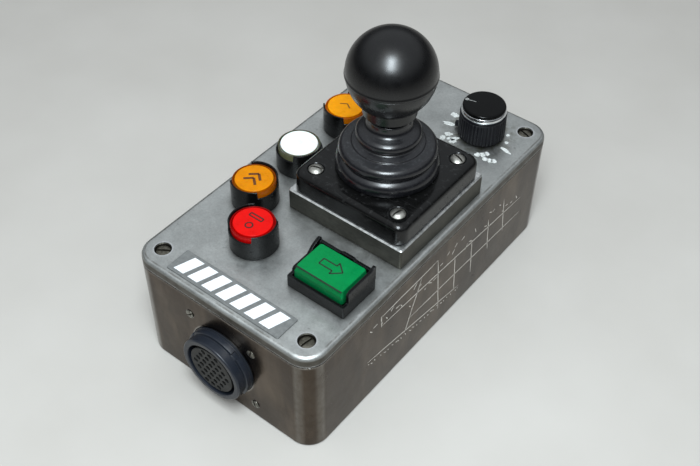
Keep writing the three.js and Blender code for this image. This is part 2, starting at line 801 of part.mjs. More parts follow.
// The contact carrier, with rows of contact holes on a triangular grid.
function socketInsert() {
  const front = 0.4 - SOCKET_PROUD;
  let shape = rod("y", 9.7, front, 12, 0, 0, MEDIUM);
  const rowHeight = CONTACT_PITCH * Math.sin(60 * DEG);
  CONTACT_ROWS.forEach((count, row) => {
    for (let i = 0; i < count; i += 1) {
      const x = (i - (count - 1) / 2) * CONTACT_PITCH;
      const z = ((CONTACT_ROWS.length - 1) / 2 - row) * rowHeight;
      shape = shape.subtract(rod("y", 0.9, front - 1, front + 2.5, x, z, 6));
    }
  });
  return mesh("socket_insert", shape, 0x26292b, 0.55, 0);
}

function socketScrews() {
  return corners(SOCKET_SCREW_OFFSET, SOCKET_SCREW_OFFSET).map(([corner, x, z], i) => {
    const place = corner.replace("front", "lower").replace("rear", "upper");
    const screw = steel("socket_screw_" + place, slottedScrew(1.7, 0.7, 0.3, 1.2, 6.5, 0.5));
    screw.rotation.set(Math.PI / 2, 0, 0);
    const turn = groupAt(x, -0.05, z, screw);
    turn.rotation.y = (30 + 40 * i) * DEG;
    return turn;
  });
}

function socket() {
  return groupAt(SOCKET_X, -CASE_LENGTH / 2, SOCKET_Z, socketShell(), socketInsert(), ...socketScrews());
}

// ---------------------------------------------------------------- the whole station

const station = new THREE.Group();
station.name = "pendant_control_station";
station.add(enclosureBody(), lid(), ...lidScrews(), labelPlate());
station.add(joystick(), ...buttons(), controlKnob(), socket());

export default station;
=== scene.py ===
"""Looks of the pendant control station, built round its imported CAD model.

Shapes are drawn in millimetres in the model's own frame; a mesh is scaled to metres when it is made.
"""

import math
import random

import bmesh
import bpy
from mathutils import Matrix, Vector


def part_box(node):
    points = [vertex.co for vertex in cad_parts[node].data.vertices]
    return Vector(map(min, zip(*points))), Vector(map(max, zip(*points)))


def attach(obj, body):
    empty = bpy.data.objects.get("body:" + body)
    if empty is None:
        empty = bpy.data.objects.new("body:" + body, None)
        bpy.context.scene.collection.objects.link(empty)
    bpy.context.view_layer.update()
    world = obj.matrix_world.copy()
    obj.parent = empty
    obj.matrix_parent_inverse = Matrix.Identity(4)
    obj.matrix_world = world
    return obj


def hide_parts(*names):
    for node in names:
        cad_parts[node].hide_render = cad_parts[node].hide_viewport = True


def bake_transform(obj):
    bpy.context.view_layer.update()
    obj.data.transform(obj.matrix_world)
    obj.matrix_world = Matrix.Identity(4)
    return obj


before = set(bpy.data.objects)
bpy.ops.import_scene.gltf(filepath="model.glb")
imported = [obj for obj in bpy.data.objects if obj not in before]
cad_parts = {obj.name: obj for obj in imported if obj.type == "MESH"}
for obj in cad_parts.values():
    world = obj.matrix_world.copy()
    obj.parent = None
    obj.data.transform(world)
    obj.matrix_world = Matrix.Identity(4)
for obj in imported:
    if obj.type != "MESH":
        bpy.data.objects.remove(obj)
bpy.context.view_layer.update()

MM = 0.001
DEG = math.pi / 180
scene = bpy.context.scene


def span(node):
    """The lowest and highest corners of a CAD node, in millimetres."""
    low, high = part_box(node)
    return Vector(low) / MM, Vector(high) / MM


def middle(node):
    low, high = span(node)
    return (low + high) / 2


LID_TOP = span("lid")[1].z
FACE = span("enclosure_body")[0].y  # the front wall, which carries the socket
CORNERS = ("front_left", "front_right", "rear_left", "rear_right")
BOX_CORNER = 8.3
STICK_HOLE = 16


# ---- shapes


def eased(points, steps=4):
    """A polyline of (a, b) or (a, b, radius) points with each corner that has a radius rounded off."""
    out = []
    for i, point in enumerate(points):
        corner = Vector(point[:2])
        if len(point) < 3 or i in (0, len(points) - 1):
            out.append(tuple(corner))
            continue
        before = Vector(points[i - 1][:2]) - corner
        after = Vector(points[i + 1][:2]) - corner
        reach = min(point[2], 0.49 * before.length, 0.49 * after.length)
        start = corner + before.normalized() * reach
        end = corner + after.normalized() * reach
        for k in range(steps + 1):
            t = k / steps
            out.append(tuple((1 - t) ** 2 * start + 2 * t * (1 - t) * corner + t * t * end))
    return out


def flowing(points, steps=5):
    """A smooth curve through (a, b) points; a repeated point makes a crease."""
    padded = [points[0], *points, points[-1]]
    out = []
    for p0, p1, p2, p3 in zip(padded, padded[1:], padded[2:], padded[3:]):
        if p1 == p2:
            continue
        a, b, c, d = (Vector(p) for p in (p0, p1, p2, p3))
        for k in range(steps):
            t = k / steps
            out.append(tuple(0.5 * (2 * b + (c - a) * t + (2 * a - 5 * b + 4 * c - d) * t * t
                                    + (3 * b - 3 * c + d - a) * t ** 3)))
    out.append(tuple(points[-1]))
    return out


def bridge(bm, low, high):
    """Faces between two rings of vertices, either of which may be a single point."""
    count = max(len(low), len(high))
    for i in range(count):
        j = (i + 1) % count
        if len(low) == 1:
            bm.faces.new((low[0], high[i], high[j]))
        elif len(high) == 1:
            bm.faces.new((low[i], high[0], low[j]))
        else:
            bm.faces.new((low[i], high[i], high[j], low[j]))


def lathe(profile, at=(0, 0, 0), axis="Z", segments=96, bm=None, ribs=None, closed=False):
    """A (radius, height) profile turned about an axis; ribs() may change a radius."""
    bm = bm or bmesh.new()
    turn = Matrix.Rotation(90 * DEG, 3, "X") if axis == "Y" else Matrix.Identity(3)
    rings = []
    for radius, height in profile:
        if radius < 1e-6:
            rings.append([bm.verts.new(turn @ Vector((0, 0, height)) + Vector(at))])
            continue
        ring = []
        for i in range(segments):
            angle = 2 * math.pi * i / segments
            r = ribs(angle, radius, height) if ribs else radius
            spoke = Vector((r * math.cos(angle), r * math.sin(angle), height))
            ring.append(bm.verts.new(turn @ spoke + Vector(at)))
        rings.append(ring)
    for low, high in zip(rings, rings[1:]):
        bridge(bm, low, high)
    if closed:
        bridge(bm, rings[-1], rings[0])
    return bm


def plug(radius, low, high, at, axis="Z", segments=96, bm=None):
    """A plain cylinder between two heights."""
    return lathe([(0, low), (radius, low), (radius, high), (0, high)], at, axis, segments, bm)


def rounded(width, depth, corner, z, at=(0, 0), steps=8):
    """The outline of a rectangle with round corners, as points at height z."""
    points = []
    for quarter, (sx, sy) in enumerate(((1, 1), (-1, 1), (-1, -1), (1, -1))):
        for i in range(steps + 1):
            angle = 90 * DEG * (quarter + i / steps)
            points.append((at[0] + sx * (width / 2 - corner) + corner * math.cos(angle),
                           at[1] + sy * (depth / 2 - corner) + corner * math.sin(angle), z))
    return points


def loft(rings, bm=None):
    """A skin over rings of points, closed by a flat face at each end."""
    bm = bm or bmesh.new()
    made = [[bm.verts.new(p) for p in ring] for ring in rings]
    for low, high in zip(made, made[1:]):
        bridge(bm, low, high)
    bm.faces.new(made[0])
    bm.faces.new(made[-1])
    return bm


def block(low, high, bm=None):
    """A plain box, used for slots and cutters and as the core of bevelled shapes."""
    (x0, y0, z0), (x1, y1, z1) = low, high
    return loft([[(x0, y0, z), (x1, y0, z), (x1, y1, z), (x0, y1, z)] for z in (z0, z1)], bm)


def placed(bm, degrees, at, axis="Z"):
    """Turns a shape about an axis through the origin, then moves it."""
    bmesh.ops.rotate(bm, verts=bm.verts, matrix=Matrix.Rotation(degrees * DEG, 3, axis))
    bmesh.ops.translate(bm, verts=bm.verts, vec=at)
    return bm


def prism(outline, z0, z1, bm=None, to=None):
    """A flat outline of (x, y) points given thickness; to() may move each point afterwards."""
    place = to or (lambda p: p)
    return loft([[place(Vector((x, y, z))) for x, y in outline] for z in (z0, z1)], bm)


def ribbon(points, width, z0, z1, bm, to=None, taper=1.0):
    """A thin raised line along (x, y) points, narrower towards its ends when taper is under 1."""
    points = [Vector(p) for p in points]
    left, right = [], []
    for i, p in enumerate(points):
        ahead = points[min(i + 1, len(points) - 1)] - points[max(i - 1, 0)]
        side = Vector((-ahead.y, ahead.x)).normalized() * width / 2
        share = 1 if 0 < i < len(points) - 1 else taper
        left.append(tuple(p + side * share))
        right.append(tuple(p - side * share))
    return prism(left + right[::-1], z0, z1, bm, to)


# ---- pieces


def put(name, data):
    """A new object in the scene."""
    made = bpy.data.objects.new(name, data)
    scene.collection.objects.link(made)
    return made


def to_object(name, bm):
    bmesh.ops.remove_doubles(bm, verts=bm.verts, dist=1e-5)
    bmesh.ops.recalc_face_normals(bm, faces=bm.faces)
    mesh = bpy.data.meshes.new(name)
    bm.to_mesh(mesh)
    bm.free()
    mesh.transform(Matrix.Scale(MM, 4))
    return put(name, mesh)


def settle(obj):
    """Replaces an object's mesh by what its modifiers make of it."""
    bpy.context.view_layer.update()
    graph = bpy.context.evaluated_depsgraph_get()
    mesh = bpy.data.meshes.new_from_object(obj.evaluated_get(graph))
    obj.modifiers.clear()
    obj.data = mesh


def carve(obj, bm):
    """Cuts the closed shapes in bm out of an object."""
    cutter = to_object("cutter", bm)
    modifier = obj.modifiers.new("cut", "BOOLEAN")
    modifier.object = cutter
    modifier.operation = "DIFFERENCE"
    modifier.solver = "EXACT"
    settle(obj)
    bpy.data.objects.remove(cutter)


def soften(obj, width, segments=2, angle=35):
    """Rounds every edge sharper than angle."""
    modifier = obj.modifiers.new("edges", "BEVEL")
    modifier.width = width * MM
    modifier.segments = segments
    modifier.limit_method = "ANGLE"
    modifier.angle_limit = angle * DEG
    settle(obj)


def piece(name, shape, look, body, nodes=(), angle=40):
    """Makes a finished piece from a bmesh or an object: shading, material, body and CAD nodes."""
    made = to_object(name, shape) if isinstance(shape, bmesh.types.BMesh) else shape
    made.name = name
    made.data.name = name
    if not made.data.materials:
        made.data.materials.append(look)
    made.data.polygons.foreach_set("use_smooth", [True] * len(made.data.polygons))
    made.data.set_sharp_from_angle(angle=angle * DEG)
    weighted = made.modifiers.new("normals", "WEIGHTED_NORMAL")
    weighted.keep_sharp = True
    if body:
        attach(made, body)
    if nodes:
        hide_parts(*nodes)
    return made


# ---- materials


def fill_ramp(node, stops):
    """Gives a colour ramp its stops; each is (position, colour or grey)."""
    elements = node.color_ramp.elements
    while len(elements) < len(stops):
        elements.new(0.5)
    for element, (position, color) in zip(elements, stops):
        element.position = position
        element.color = (*color, 1) if isinstance(color, tuple) else (color, color, color, 1)


class Look:
    """A procedural material whose patterns are measured in millimetres of the model's frame."""

    def __init__(self, name, **shader):
        self.material = bpy.data.materials.new(name)
        self.material.use_nodes = True
        self.tree = self.material.node_tree
        self.shader = self.tree.nodes["Principled BSDF"]
        place = self.add("TexCoord").outputs["Object"]
        self.mm = self.add("Mapping", {"Vector": place, "Scale": (1 / MM,) * 3}).outputs[0]
        self.set(**shader)

    def add(self, kind, inputs=None, **settings):
        node = self.tree.nodes.new("ShaderNode" + kind)
        for key, value in settings.items():
            setattr(node, key, value)
        for key, value in (inputs or {}).items():
            self.feed(node.inputs[key], value)
        return node

    def feed(self, socket, value):
        if isinstance(value, bpy.types.NodeSocket):
            self.tree.links.new(value, socket)
        elif socket.type == "RGBA":
            socket.default_value = (*value, 1)
        else:
            socket.default_value = value

    def set(self, **values):
        names = {
            "color": "Base Color", "rough": "Roughness", "metal": "Metallic", "normal": "Normal",
            "gloss": "Specular IOR Level", "scatter": "Subsurface Weight",
            "scatter_scale": "Subsurface Scale",
        }
        for key, value in values.items():
            self.feed(self.shader.inputs[names[key]], value)

    def noise(self, size, detail=4.0, rough=0.55, stretch=(1, 1, 1), warp=0.0, shift=0.0):
        place = self.mm
        if stretch != (1, 1, 1) or shift:
            moved = {"Vector": place, "Scale": stretch, "Location": (shift,) * 3}
            place = self.add("Mapping", moved).outputs[0]
        return self.add("TexNoise", {
            "Vector": place, "Scale": 1 / size, "Detail": detail, "Roughness": rough, "Distortion": warp,
        }).outputs["Fac"]

    def ramp(self, value, *stops):
        node = self.add("ValToRGB", {"Fac": value})
        fill_ramp(node, stops)
        return node.outputs["Color"]

    def mix(self, share, first, second, how="MIX"):
        node = self.add("Mix", data_type="RGBA", blend_type=how)
        self.feed(node.inputs[0], share)
        self.feed(node.inputs[6], first)
        self.feed(node.inputs[7], second)
        return node.outputs[2]

    def shade(self, first, second):
        """The first colour multiplied by the second."""
        return self.mix(1.0, first, second, "MULTIPLY")

    def math(self, how, first, second=0.0):
        node = self.add("Math", operation=how)
        self.feed(node.inputs[0], first)
        self.feed(node.inputs[1], second)
        return node.outputs[0]

    def edges(self, radius):
        """1 on edges, 0 on flats: worn edges on plastics, worn edges with painted highlight on the lid
        and body, painted shade on the green lens.
        """
        bevel = self.add("Bevel", {"Radius": radius * MM}, samples=6)
        flat = self.add("NewGeometry").outputs["Normal"]
        match = self.add("VectorMath", {0: bevel.outputs[0], 1: flat}, operation="DOT_PRODUCT")
        return self.ramp(match.outputs["Value"], (0.80, 1.0), (0.985, 0.0))

    def hollows(self, reach):
        """1 in corners and hollows that the ambient-occlusion node finds, 0 in the open: where it is
        mixed in darker, that is painted shade.
        """
        near = self.add("AmbientOcclusion", {"Distance": reach * MM}, samples=6).outputs["AO"]
        return self.ramp(near, (0.35, 1.0), (0.95, 0.0))

    def bump(self, height, depth, strength=1.0, after=None):
        inputs = {"Height": height, "Distance": depth * MM, "Strength": strength}
        if after:
            inputs["Normal"] = after
        return self.add("Bump", inputs).outputs[0]

    def distance(self, spot, flat=False):
        """Millimetres to a spot; when flat, height does not count."""
        offset = self.add("VectorMath", {0: self.mm, 1: tuple(spot)}, operation="SUBTRACT").outputs[0]
        if flat:
            offset = self.add("VectorMath", {0: offset, 1: (1, 1, 0)}, operation="MULTIPLY").outputs[0]
        return self.add("VectorMath", {0: offset}, operation="LENGTH").outputs["Value"]

    def facing(self, axis):
        """How far the surface faces along an axis of the frame, from -1 to 1."""
        normal = self.add("TexCoord").outputs["Normal"]
        return self.add("SeparateXYZ", {"Vector": normal}).outputs[axis]


def lid_metal():
    look = Look("lid_cast_aluminium", metal=1.0)
    cloud = look.ramp(look.noise(14.0, 5.0, 0.6),
                      (0.32, (0.46, 0.475, 0.465)), (0.68, (0.62, 0.635, 0.62)))
    grain = look.ramp(look.noise(0.7, 3.0, 0.7), (0.3, 0.80), (0.7, 1.0))
    spots = look.ramp(look.noise(2.6, 4.0, 0.7, shift=31.0), (0.27, 0.62), (0.36, 1.0))
    skin = look.shade(look.shade(cloud, grain), spots)
    # The hollows round screws and openings go darker: painted shade.
    hollow_shade = look.math("MULTIPLY", look.hollows(2.6), 0.7)
    skin = look.mix(hollow_shade, skin, (0.09, 0.085, 0.075))
    # The upright sides are mixed to a dark brown: painted shade.
    wall = look.ramp(look.facing("Z"), (0.10, 1.0), (0.55, 0.0))
    skin = look.mix(wall, skin, look.ramp(look.noise(5.0, 5.0, 0.65),
                                          (0.3, (0.055, 0.050, 0.040)), (0.7, (0.14, 0.13, 0.115))))
    near_knob = look.math("DIVIDE", look.distance(middle("speed_pot_nut")), 20.0)
    stain = look.math("MULTIPLY", look.ramp(near_knob, (0.48, 0.65), (0.86, 0.0)),
                      look.ramp(look.noise(3.0, 4.0, 0.7, shift=73.0), (0.45, 0.0), (0.62, 1.0)))
    skin = look.mix(stain, skin, (0.115, 0.110, 0.062))
    # A thin darker band where the flat top begins to round over, broken up by patchy noise.
    roundover_band = look.ramp(look.facing("Z"), (0.88, 0.0), (0.955, 0.75), (0.993, 0.55), (0.999, 0.0))
    patchy = look.ramp(look.noise(4.0, 5.0, 0.7, shift=19.0), (0.38, 0.25), (0.60, 1.0))
    skin = look.mix(look.math("MULTIPLY", roundover_band, patchy), skin, (0.12, 0.11, 0.095))
    # Brighter, bluish and smoother on the edges: partly bare worn metal, partly painted highlight.
    edge_wear_and_highlight = look.edges(1.7)
    color = look.mix(edge_wear_and_highlight, skin, (0.88, 0.90, 0.93))
    satin = look.ramp(look.noise(5.0, 5.0, 0.65, shift=7.0), (0.3, 0.38), (0.7, 0.54))
    rough = look.mix(edge_wear_and_highlight, satin, (0.17, 0.17, 0.17))
    fine = look.bump(look.noise(0.5, 4.0, 0.75), 0.06, 0.55)
    scratch = look.noise(1.1, 2.0, 0.5, stretch=(0.05, 1.6, 1), warp=0.6)
    scratch = look.ramp(scratch, (0.60, 0.0), (0.64, 1.0))
    look.set(color=color, rough=rough, normal=look.bump(scratch, 0.012, 0.35, after=fine))
    return look.material


def body_metal():
    look = Look("body_polished_aluminium", metal=1.0)
    # Very dark, warm brown tones: partly the metal's tarnish, partly painted reflection of a brown
    # table.
    streak = look.noise(13.0, 4.0, 0.55, stretch=(1.0, 1.0, 0.30), warp=0.5)
    tone = look.ramp(streak, (0.30, (0.030, 0.0195, 0.012)), (0.50, (0.052, 0.0355, 0.023)),
                     (0.70, (0.112, 0.082, 0.057)))
    tarnish = look.ramp(look.noise(17.0, 5.0, 0.65, shift=90.0), (0.45, 0.0), (0.70, 1.0))
    tone = look.mix(look.math("MULTIPLY", tarnish, 0.6), tone, (0.062, 0.046, 0.033))
    # Bright bands across the rounded upright corners, set by which way the surface faces: painted
    # highlight, broken into patches.
    turned = look.math("ABSOLUTE", look.math("MULTIPLY", look.facing("X"), look.facing("Y")))
    painted_corner_highlight = look.ramp(turned, (0.04, 0.0), (0.20, 0.75), (0.38, 0.55), (0.46, 0.12))
    patches = look.ramp(look.noise(3.0, 4.0, 0.7, shift=52.0), (0.3, 0.5), (0.6, 1.0))
    painted_corner_highlight = look.math("MULTIPLY", painted_corner_highlight, patches)
    tone = look.mix(painted_corner_highlight, tone, (0.20, 0.185, 0.165))
    specks = look.ramp(look.noise(0.9, 3.0, 0.7), (0.27, 0.55), (0.36, 1.0))
    tone = look.shade(tone, specks)
    # Brighter on the edges: partly worn metal, partly painted highlight.
    edge_wear_and_highlight = look.edges(1.4)
    # Darker in the corners and along the seam under the lid: painted shade.
    tone = look.mix(look.math("MULTIPLY", look.hollows(1.2), 0.6), tone, (0.012, 0.010, 0.008))
    color = look.mix(edge_wear_and_highlight, tone, (0.34, 0.325, 0.305))
    polish = look.noise(6.0, 5.0, 0.7, stretch=(1, 1, 0.5), shift=12.0)
    rough = look.ramp(polish, (0.30, 0.13), (0.72, 0.30))
    wear = look.noise(1.4, 3.0, 0.6, stretch=(0.12, 0.12, 1.8), warp=0.8)
    lines = look.bump(look.ramp(wear, (0.62, 0.0), (0.66, 1.0)), 0.012, 0.4)
    skin = look.bump(look.noise(11.0, 3.0, 0.5), 0.35, 0.35, after=lines)
    look.set(color=color, rough=rough, normal=skin)
    return look.material


def plinth_metal():
    look = Look("plinth_dark_aluminium", metal=1.0)
    grain = look.noise(1.2, 4.0, 0.7, stretch=(0.3, 0.3, 3.0))
    tone = look.ramp(grain, (0.30, (0.066, 0.064, 0.054)), (0.70, (0.125, 0.122, 0.105)))
    stain = look.ramp(look.noise(5.0, 4.0, 0.6), (0.35, 0.72), (0.65, 1.0))
    tone = look.shade(tone, stain)
    crown = look.ramp(look.facing("Z"), (0.6, 0.0), (0.9, 1.0))
    look.set(color=look.mix(crown, tone, (0.40, 0.41, 0.40)),
             rough=look.ramp(grain, (0.3, 0.42), (0.7, 0.56)), normal=look.bump(grain, 0.02, 0.4))
    return look.material


def bare_edge():
    look = Look("bare_edge_aluminium", metal=1.0)
    nick = look.noise(1.6, 4.0, 0.7)
    look.set(color=look.ramp(nick, (0.30, (0.42, 0.43, 0.42)), (0.55, (0.80, 0.81, 0.80))),
             rough=look.ramp(nick, (0.3, 0.30), (0.7, 0.42)), normal=look.bump(nick, 0.05, 0.6))
    return look.material


def black_plastic(name, rough=(0.14, 0.30), tint=(0.003, 0.003, 0.003), dust=0.30, scuffs=True, wear=0.6,
                  gloss=0.25):
    look = Look(name, gloss=gloss)
    cloud = look.noise(4.0, 5.0, 0.65)
    powder = look.ramp(look.noise(2.2, 5.0, 0.75, shift=44.0), (0.56, 0.0), (0.78, dust))
    tone = look.mix(powder, tint, (0.050, 0.050, 0.050))
    edge = look.math("MULTIPLY", look.edges(0.7), wear)
    tone = look.mix(edge, tone, (0.024, 0.025, 0.027))
    finish = look.ramp(cloud, (0.32, rough[0]), (0.70, rough[1]))
    height = look.bump(look.noise(0.9, 3.0, 0.6), 0.010, 0.30)
    if scuffs:
        line = look.noise(1.8, 2.0, 0.5, stretch=(0.08, 1.3, 1), warp=1.4)
        line = look.ramp(line, (0.63, 0.0), (0.66, 1.0))
        finish = look.mix(line, finish, (0.45, 0.45, 0.45))
        height = look.bump(line, 0.01, 0.4, after=height)
    look.set(color=tone, rough=finish, normal=height)
    return look.material


def rubber():
    look = Look("boot_black_rubber", gloss=0.6)
    cloud = look.noise(7.0, 5.0, 0.6)
    level = look.ramp(look.facing("Z"), (0.90, 0.0), (0.99, 1.0))
    specks = look.ramp(look.noise(0.8, 5.0, 0.8, shift=15.0), (0.53, 0.05), (0.68, 0.75))
    dust = look.math("MULTIPLY", specks, look.ramp(level, (0.0, 0.25), (1.0, 1.0)))
    tone = look.mix(dust, look.ramp(cloud, (0.3, (0.001, 0.001, 0.002)), (0.7, (0.004, 0.004, 0.006))),
                    (0.075, 0.078, 0.082))
    satin = look.ramp(cloud, (0.3, 0.20), (0.7, 0.30))
    look.set(color=tone, rough=look.mix(level, satin, (0.5, 0.5, 0.5)),
             normal=look.bump(look.noise(0.6, 4.0, 0.7), 0.025, 0.45))
    return look.material


def screw_metal(name, low, high, rough=(0.28, 0.5), hollow_shade=0.8):
    look = Look(name, metal=1.0)
    mottle = look.noise(1.1, 5.0, 0.75)
    tone = look.ramp(mottle, (0.30, low), (0.66, high))
    # Darker in the slot and round the head: painted shade.
    tone = look.mix(look.math("MULTIPLY", look.hollows(0.8), hollow_shade), tone, (0.03, 0.025, 0.02))
    look.set(color=tone, rough=look.ramp(mottle, (0.3, rough[1]), (0.7, rough[0])),
             normal=look.bump(look.noise(0.35, 3.0, 0.6), 0.03, 0.5))
    return look.material


def lens(name, bright, dark, side, spot=None, disc=None, scuffed=0.0):
    """Translucent coloured plastic: a round lens has a bright disc of that radius in a darker rim; the
    darker rim, edges and sides are painted shade on one plastic.
    """
    look = Look(name, gloss=0.10, scatter_scale=2 * MM)
    cloud = look.noise(3.2, 4.0, 0.6)
    if spot:
        reach = look.math("DIVIDE", look.distance(spot, flat=True), 10.0)
        share = look.ramp(reach, (disc / 10 - 0.012, 0.0), (disc / 10 + 0.03, 1.0))
    else:
        share = look.math("MULTIPLY", look.edges(0.8), 0.75)
    # The moat round the disc, or the green cap's edges, take the darker copy of the plastic: painted
    # shade.
    tone = look.mix(share, bright, dark)
    # Sideways-facing surfaces take the side colour, a further darker copy: painted shade.
    tone = look.mix(look.ramp(look.facing("Z"), (0.15, 1.0), (0.5, 0.0)), tone, side)
    tone = look.shade(tone, look.ramp(cloud, (0.3, 0.84), (0.7, 1.0)))
    haze = look.ramp(look.noise(1.1, 4.0, 0.7, shift=60.0), (0.60, 0.0), (0.75, scuffed))
    tone = look.mix(haze, tone, tuple(0.85 * c + 0.02 for c in bright))
    look.set(color=tone, rough=look.ramp(cloud, (0.3, 0.24), (0.7, 0.40)), scatter=0.12,
             normal=look.bump(look.noise(0.8, 3.0, 0.6), 0.015, 0.4))
    return look.material


def plain(name, low, high, size=1.5, rough=(0.4, 0.6), metal=0.0, depth=0.02):
    """A two-tone mottled finish for labels, marks and inner parts."""
    look = Look(name, metal=metal)
    mottle = look.noise(size, 5.0, 0.7)
    look.set(color=look.ramp(mottle, (0.32, low), (0.68, high)),
             rough=look.ramp(mottle, (0.3, rough[0]), (0.7, rough[1])),
             normal=look.bump(look.noise(size / 2, 3.0, 0.6), depth, 0.5))
    return look.material


LID = lid_metal()
BODY = body_metal()
PLINTH = plinth_metal()
BARE = bare_edge()
BEZEL = black_plastic("bezel_gloss_black", (0.11, 0.26), dust=0.55, gloss=0.28)
BARREL = black_plastic("button_gloss_black", (0.14, 0.30), dust=0.10, wear=0.9, gloss=0.16)
GRIP = black_plastic("grip_gloss_black", (0.25, 0.33), (0.0007, 0.0007, 0.001), dust=0.05,
                     scuffs=False, wear=0.5, gloss=0.5)
KNOB = black_plastic("knob_satin_black", (0.26, 0.42), (0.003, 0.003, 0.005), dust=0.06,
                     scuffs=False, wear=0.25, gloss=0.16)
CAP = black_plastic("knob_cap_gloss_black", (0.12, 0.22), (0.002, 0.002, 0.002), dust=0.06,
                    wear=0.5, gloss=0.12)
SHELL = black_plastic("socket_blue_black", (0.26, 0.42), (0.012, 0.015, 0.022), dust=0.25,
                      scuffs=False, gloss=0.4)
INSERT = black_plastic("socket_insulator", (0.40, 0.55), (0.011, 0.011, 0.010), scuffs=False)
CONTACT = plain("socket_contact_dark", (0.010, 0.009, 0.008), (0.05, 0.045, 0.036), 0.5, (0.3, 0.5), 0.6)
RUBBER = rubber()
OLD_BRASS = screw_metal("lid_screw_old_brass", (0.045, 0.040, 0.032), (0.21, 0.20, 0.165))
NICKEL = screw_metal("screw_dull_nickel", (0.16, 0.155, 0.135), (0.56, 0.55, 0.51),
                     (0.34, 0.55), 0.9)
TARNISHED = screw_metal("socket_screw_tarnished", (0.05, 0.046, 0.038), (0.34, 0.33, 0.29),
                        (0.3, 0.5), 0.9)
STEEL = plain("turned_steel", (0.42, 0.42, 0.41), (0.66, 0.66, 0.65), 1.2, (0.25, 0.4), 1.0)
CAN = plain("tinned_can", (0.34, 0.35, 0.33), (0.52, 0.53, 0.50), 2.0, (0.35, 0.5), 1.0)
INNER = plain("inner_black_moulding", (0.02, 0.02, 0.022), (0.045, 0.045, 0.05), 2.0)
SWITCH = plain("switch_blue_moulding", (0.03, 0.05, 0.10), (0.06, 0.09, 0.17), 2.0)
LABEL = plain("label_grey", (0.135, 0.14, 0.138), (0.20, 0.205, 0.20), 1.6, (0.45, 0.65), 0.3)
PRINT = plain("label_white_print", (0.66, 0.68, 0.70), (0.82, 0.84, 0.86), 0.8, (0.45, 0.65))
PAINT = plain("dial_white_paint", (0.42, 0.43, 0.41), (0.80, 0.82, 0.80), 0.9, (0.5, 0.75), depth=0.06)
WORN_PAINT = plain("pointer_worn_paint", (0.020, 0.020, 0.019), (0.42, 0.42, 0.40), 0.9, (0.5, 0.75))
SCRIBE = plain("scribed_bright_line", (0.32, 0.29, 0.25), (0.85, 0.81, 0.75), 0.9, (0.4, 0.6), 0.2)
RING = plain("knob_bright_ring", (0.70, 0.71, 0.72), (0.92, 0.93, 0.94), 1.6, (0.10, 0.22), 1.0, 0.004)
INK = plain("engraved_dark_line", (0.004, 0.004, 0.003), (0.012, 0.010, 0.008), 0.6)
AMBER_INK = plain("engraved_brown_line", (0.070, 0.018, 0.001), (0.130, 0.036, 0.001), 0.6)


# ---- box and lid


def box_ring(node, inset, z):
    """The outline of the box, as wide as a CAD node less an inset all round."""
    low, high = span(node)
    return rounded(high.x - low.x - 2 * inset, high.y - low.y - 2 * inset,
                   max(BOX_CORNER - inset, 1.0), z, steps=14)


def build_body():
    wall, floor, top = 3.0, 3.0, span("enclosure_body")[1].z
    outline = [(1.0, 0.0), (0.45, 0.12), (0.12, 0.45), (0.0, 1.0), (0.0, 12), (0.0, 24), (0.0, 36),
               (0.0, top - 0.6), (0.15, top - 0.17), (0.55, top), (wall - 0.3, top), (wall, top - 0.3),
               (wall, floor)]
    made = to_object("case_body", loft([box_ring("enclosure_body", inset, z) for inset, z in outline]))
    centre = middle("socket_shell")
    socket_hole, screw_hole, screw_offset, depth = 14.15, 1.45, 14.2, 5
    cutter = plug(socket_hole, 0, depth + 1, (centre.x, FACE + depth, centre.z), "Y")
    for sx in (-1, 1):
        for sz in (-1, 1):
            spot = (centre.x + screw_offset * sx, FACE + depth, centre.z + screw_offset * sz)
            plug(screw_hole, 0, depth + 1, spot, "Y", 24, cutter)
    carve(made, cutter)
    piece("case_body", made, BODY, "case", ["enclosure_body"])


def build_lid():
    low, high = span("lid")
    edge, rim = 1.8, 4.5
    outline = [(rim, high.z - 2.5), (rim, low.z), (0.5, low.z), (0.14, low.z + 0.14), (0.0, low.z + 0.5)]
    for k in range(7):
        turn = 15 * k * DEG
        outline.append((edge * (1 - math.cos(turn)), high.z - edge * (1 - math.sin(turn))))
    outline.append((3.2, high.z))
    made = to_object("case_lid", loft([box_ring("lid", inset, z) for inset, z in outline]))
    cutter = bmesh.new()
    for corner in CORNERS:
        spot = middle("lid_screw_" + corner)
        bore = [(0, -6), (2.1, -6), (2.1, -2.6), (3.0, -2.6), (3.0, -0.25), (3.35, 0.3), (0, 0.3)]
        lathe(bore, (spot.x, spot.y, high.z), segments=48, bm=cutter)
    openings = [(button + "_nut", 8, 64) for button in BUTTONS]
    openings += [("boot_bezel", STICK_HOLE, 64), ("speed_pot_nut", 3.4, 48)]
    for node, radius, segments in openings:
        spot = middle(node)
        plug(radius, -6, 1, (spot.x, spot.y, high.z), segments=segments, bm=cutter)
    carve(made, cutter)
    piece("case_lid", made, LID, "case", ["lid"])


def build_screw(node, radius, height, dome, slot, depth, look, turn, shank, tail):
    """A slotted screw that stands where its CAD node does; turn is the slot's direction."""
    spot = middle(node)
    base = span(node)[1].z - height
    profile = [(0, base - tail), (shank * 0.6, base - tail), (shank, base - tail + 0.8), (shank, base)]
    profile += eased([(shank, base), (radius, base), (radius, base + height - dome, 0.25),
                      (radius * 0.62, base + height - 0.22 * dome, 0.8), (0, base + height)])[1:]
    made = to_object(node + "_head", lathe(profile, (spot.x, spot.y, 0), segments=56))
    cutter = block((-radius * 1.5, -slot / 2, 0), (radius * 1.5, slot / 2, 5))
    carve(made, placed(cutter, turn, (spot.x, spot.y, base + height - depth)))
    soften(made, 0.07, 2, 50)
    piece(node + "_head", made, look, "case", [node])


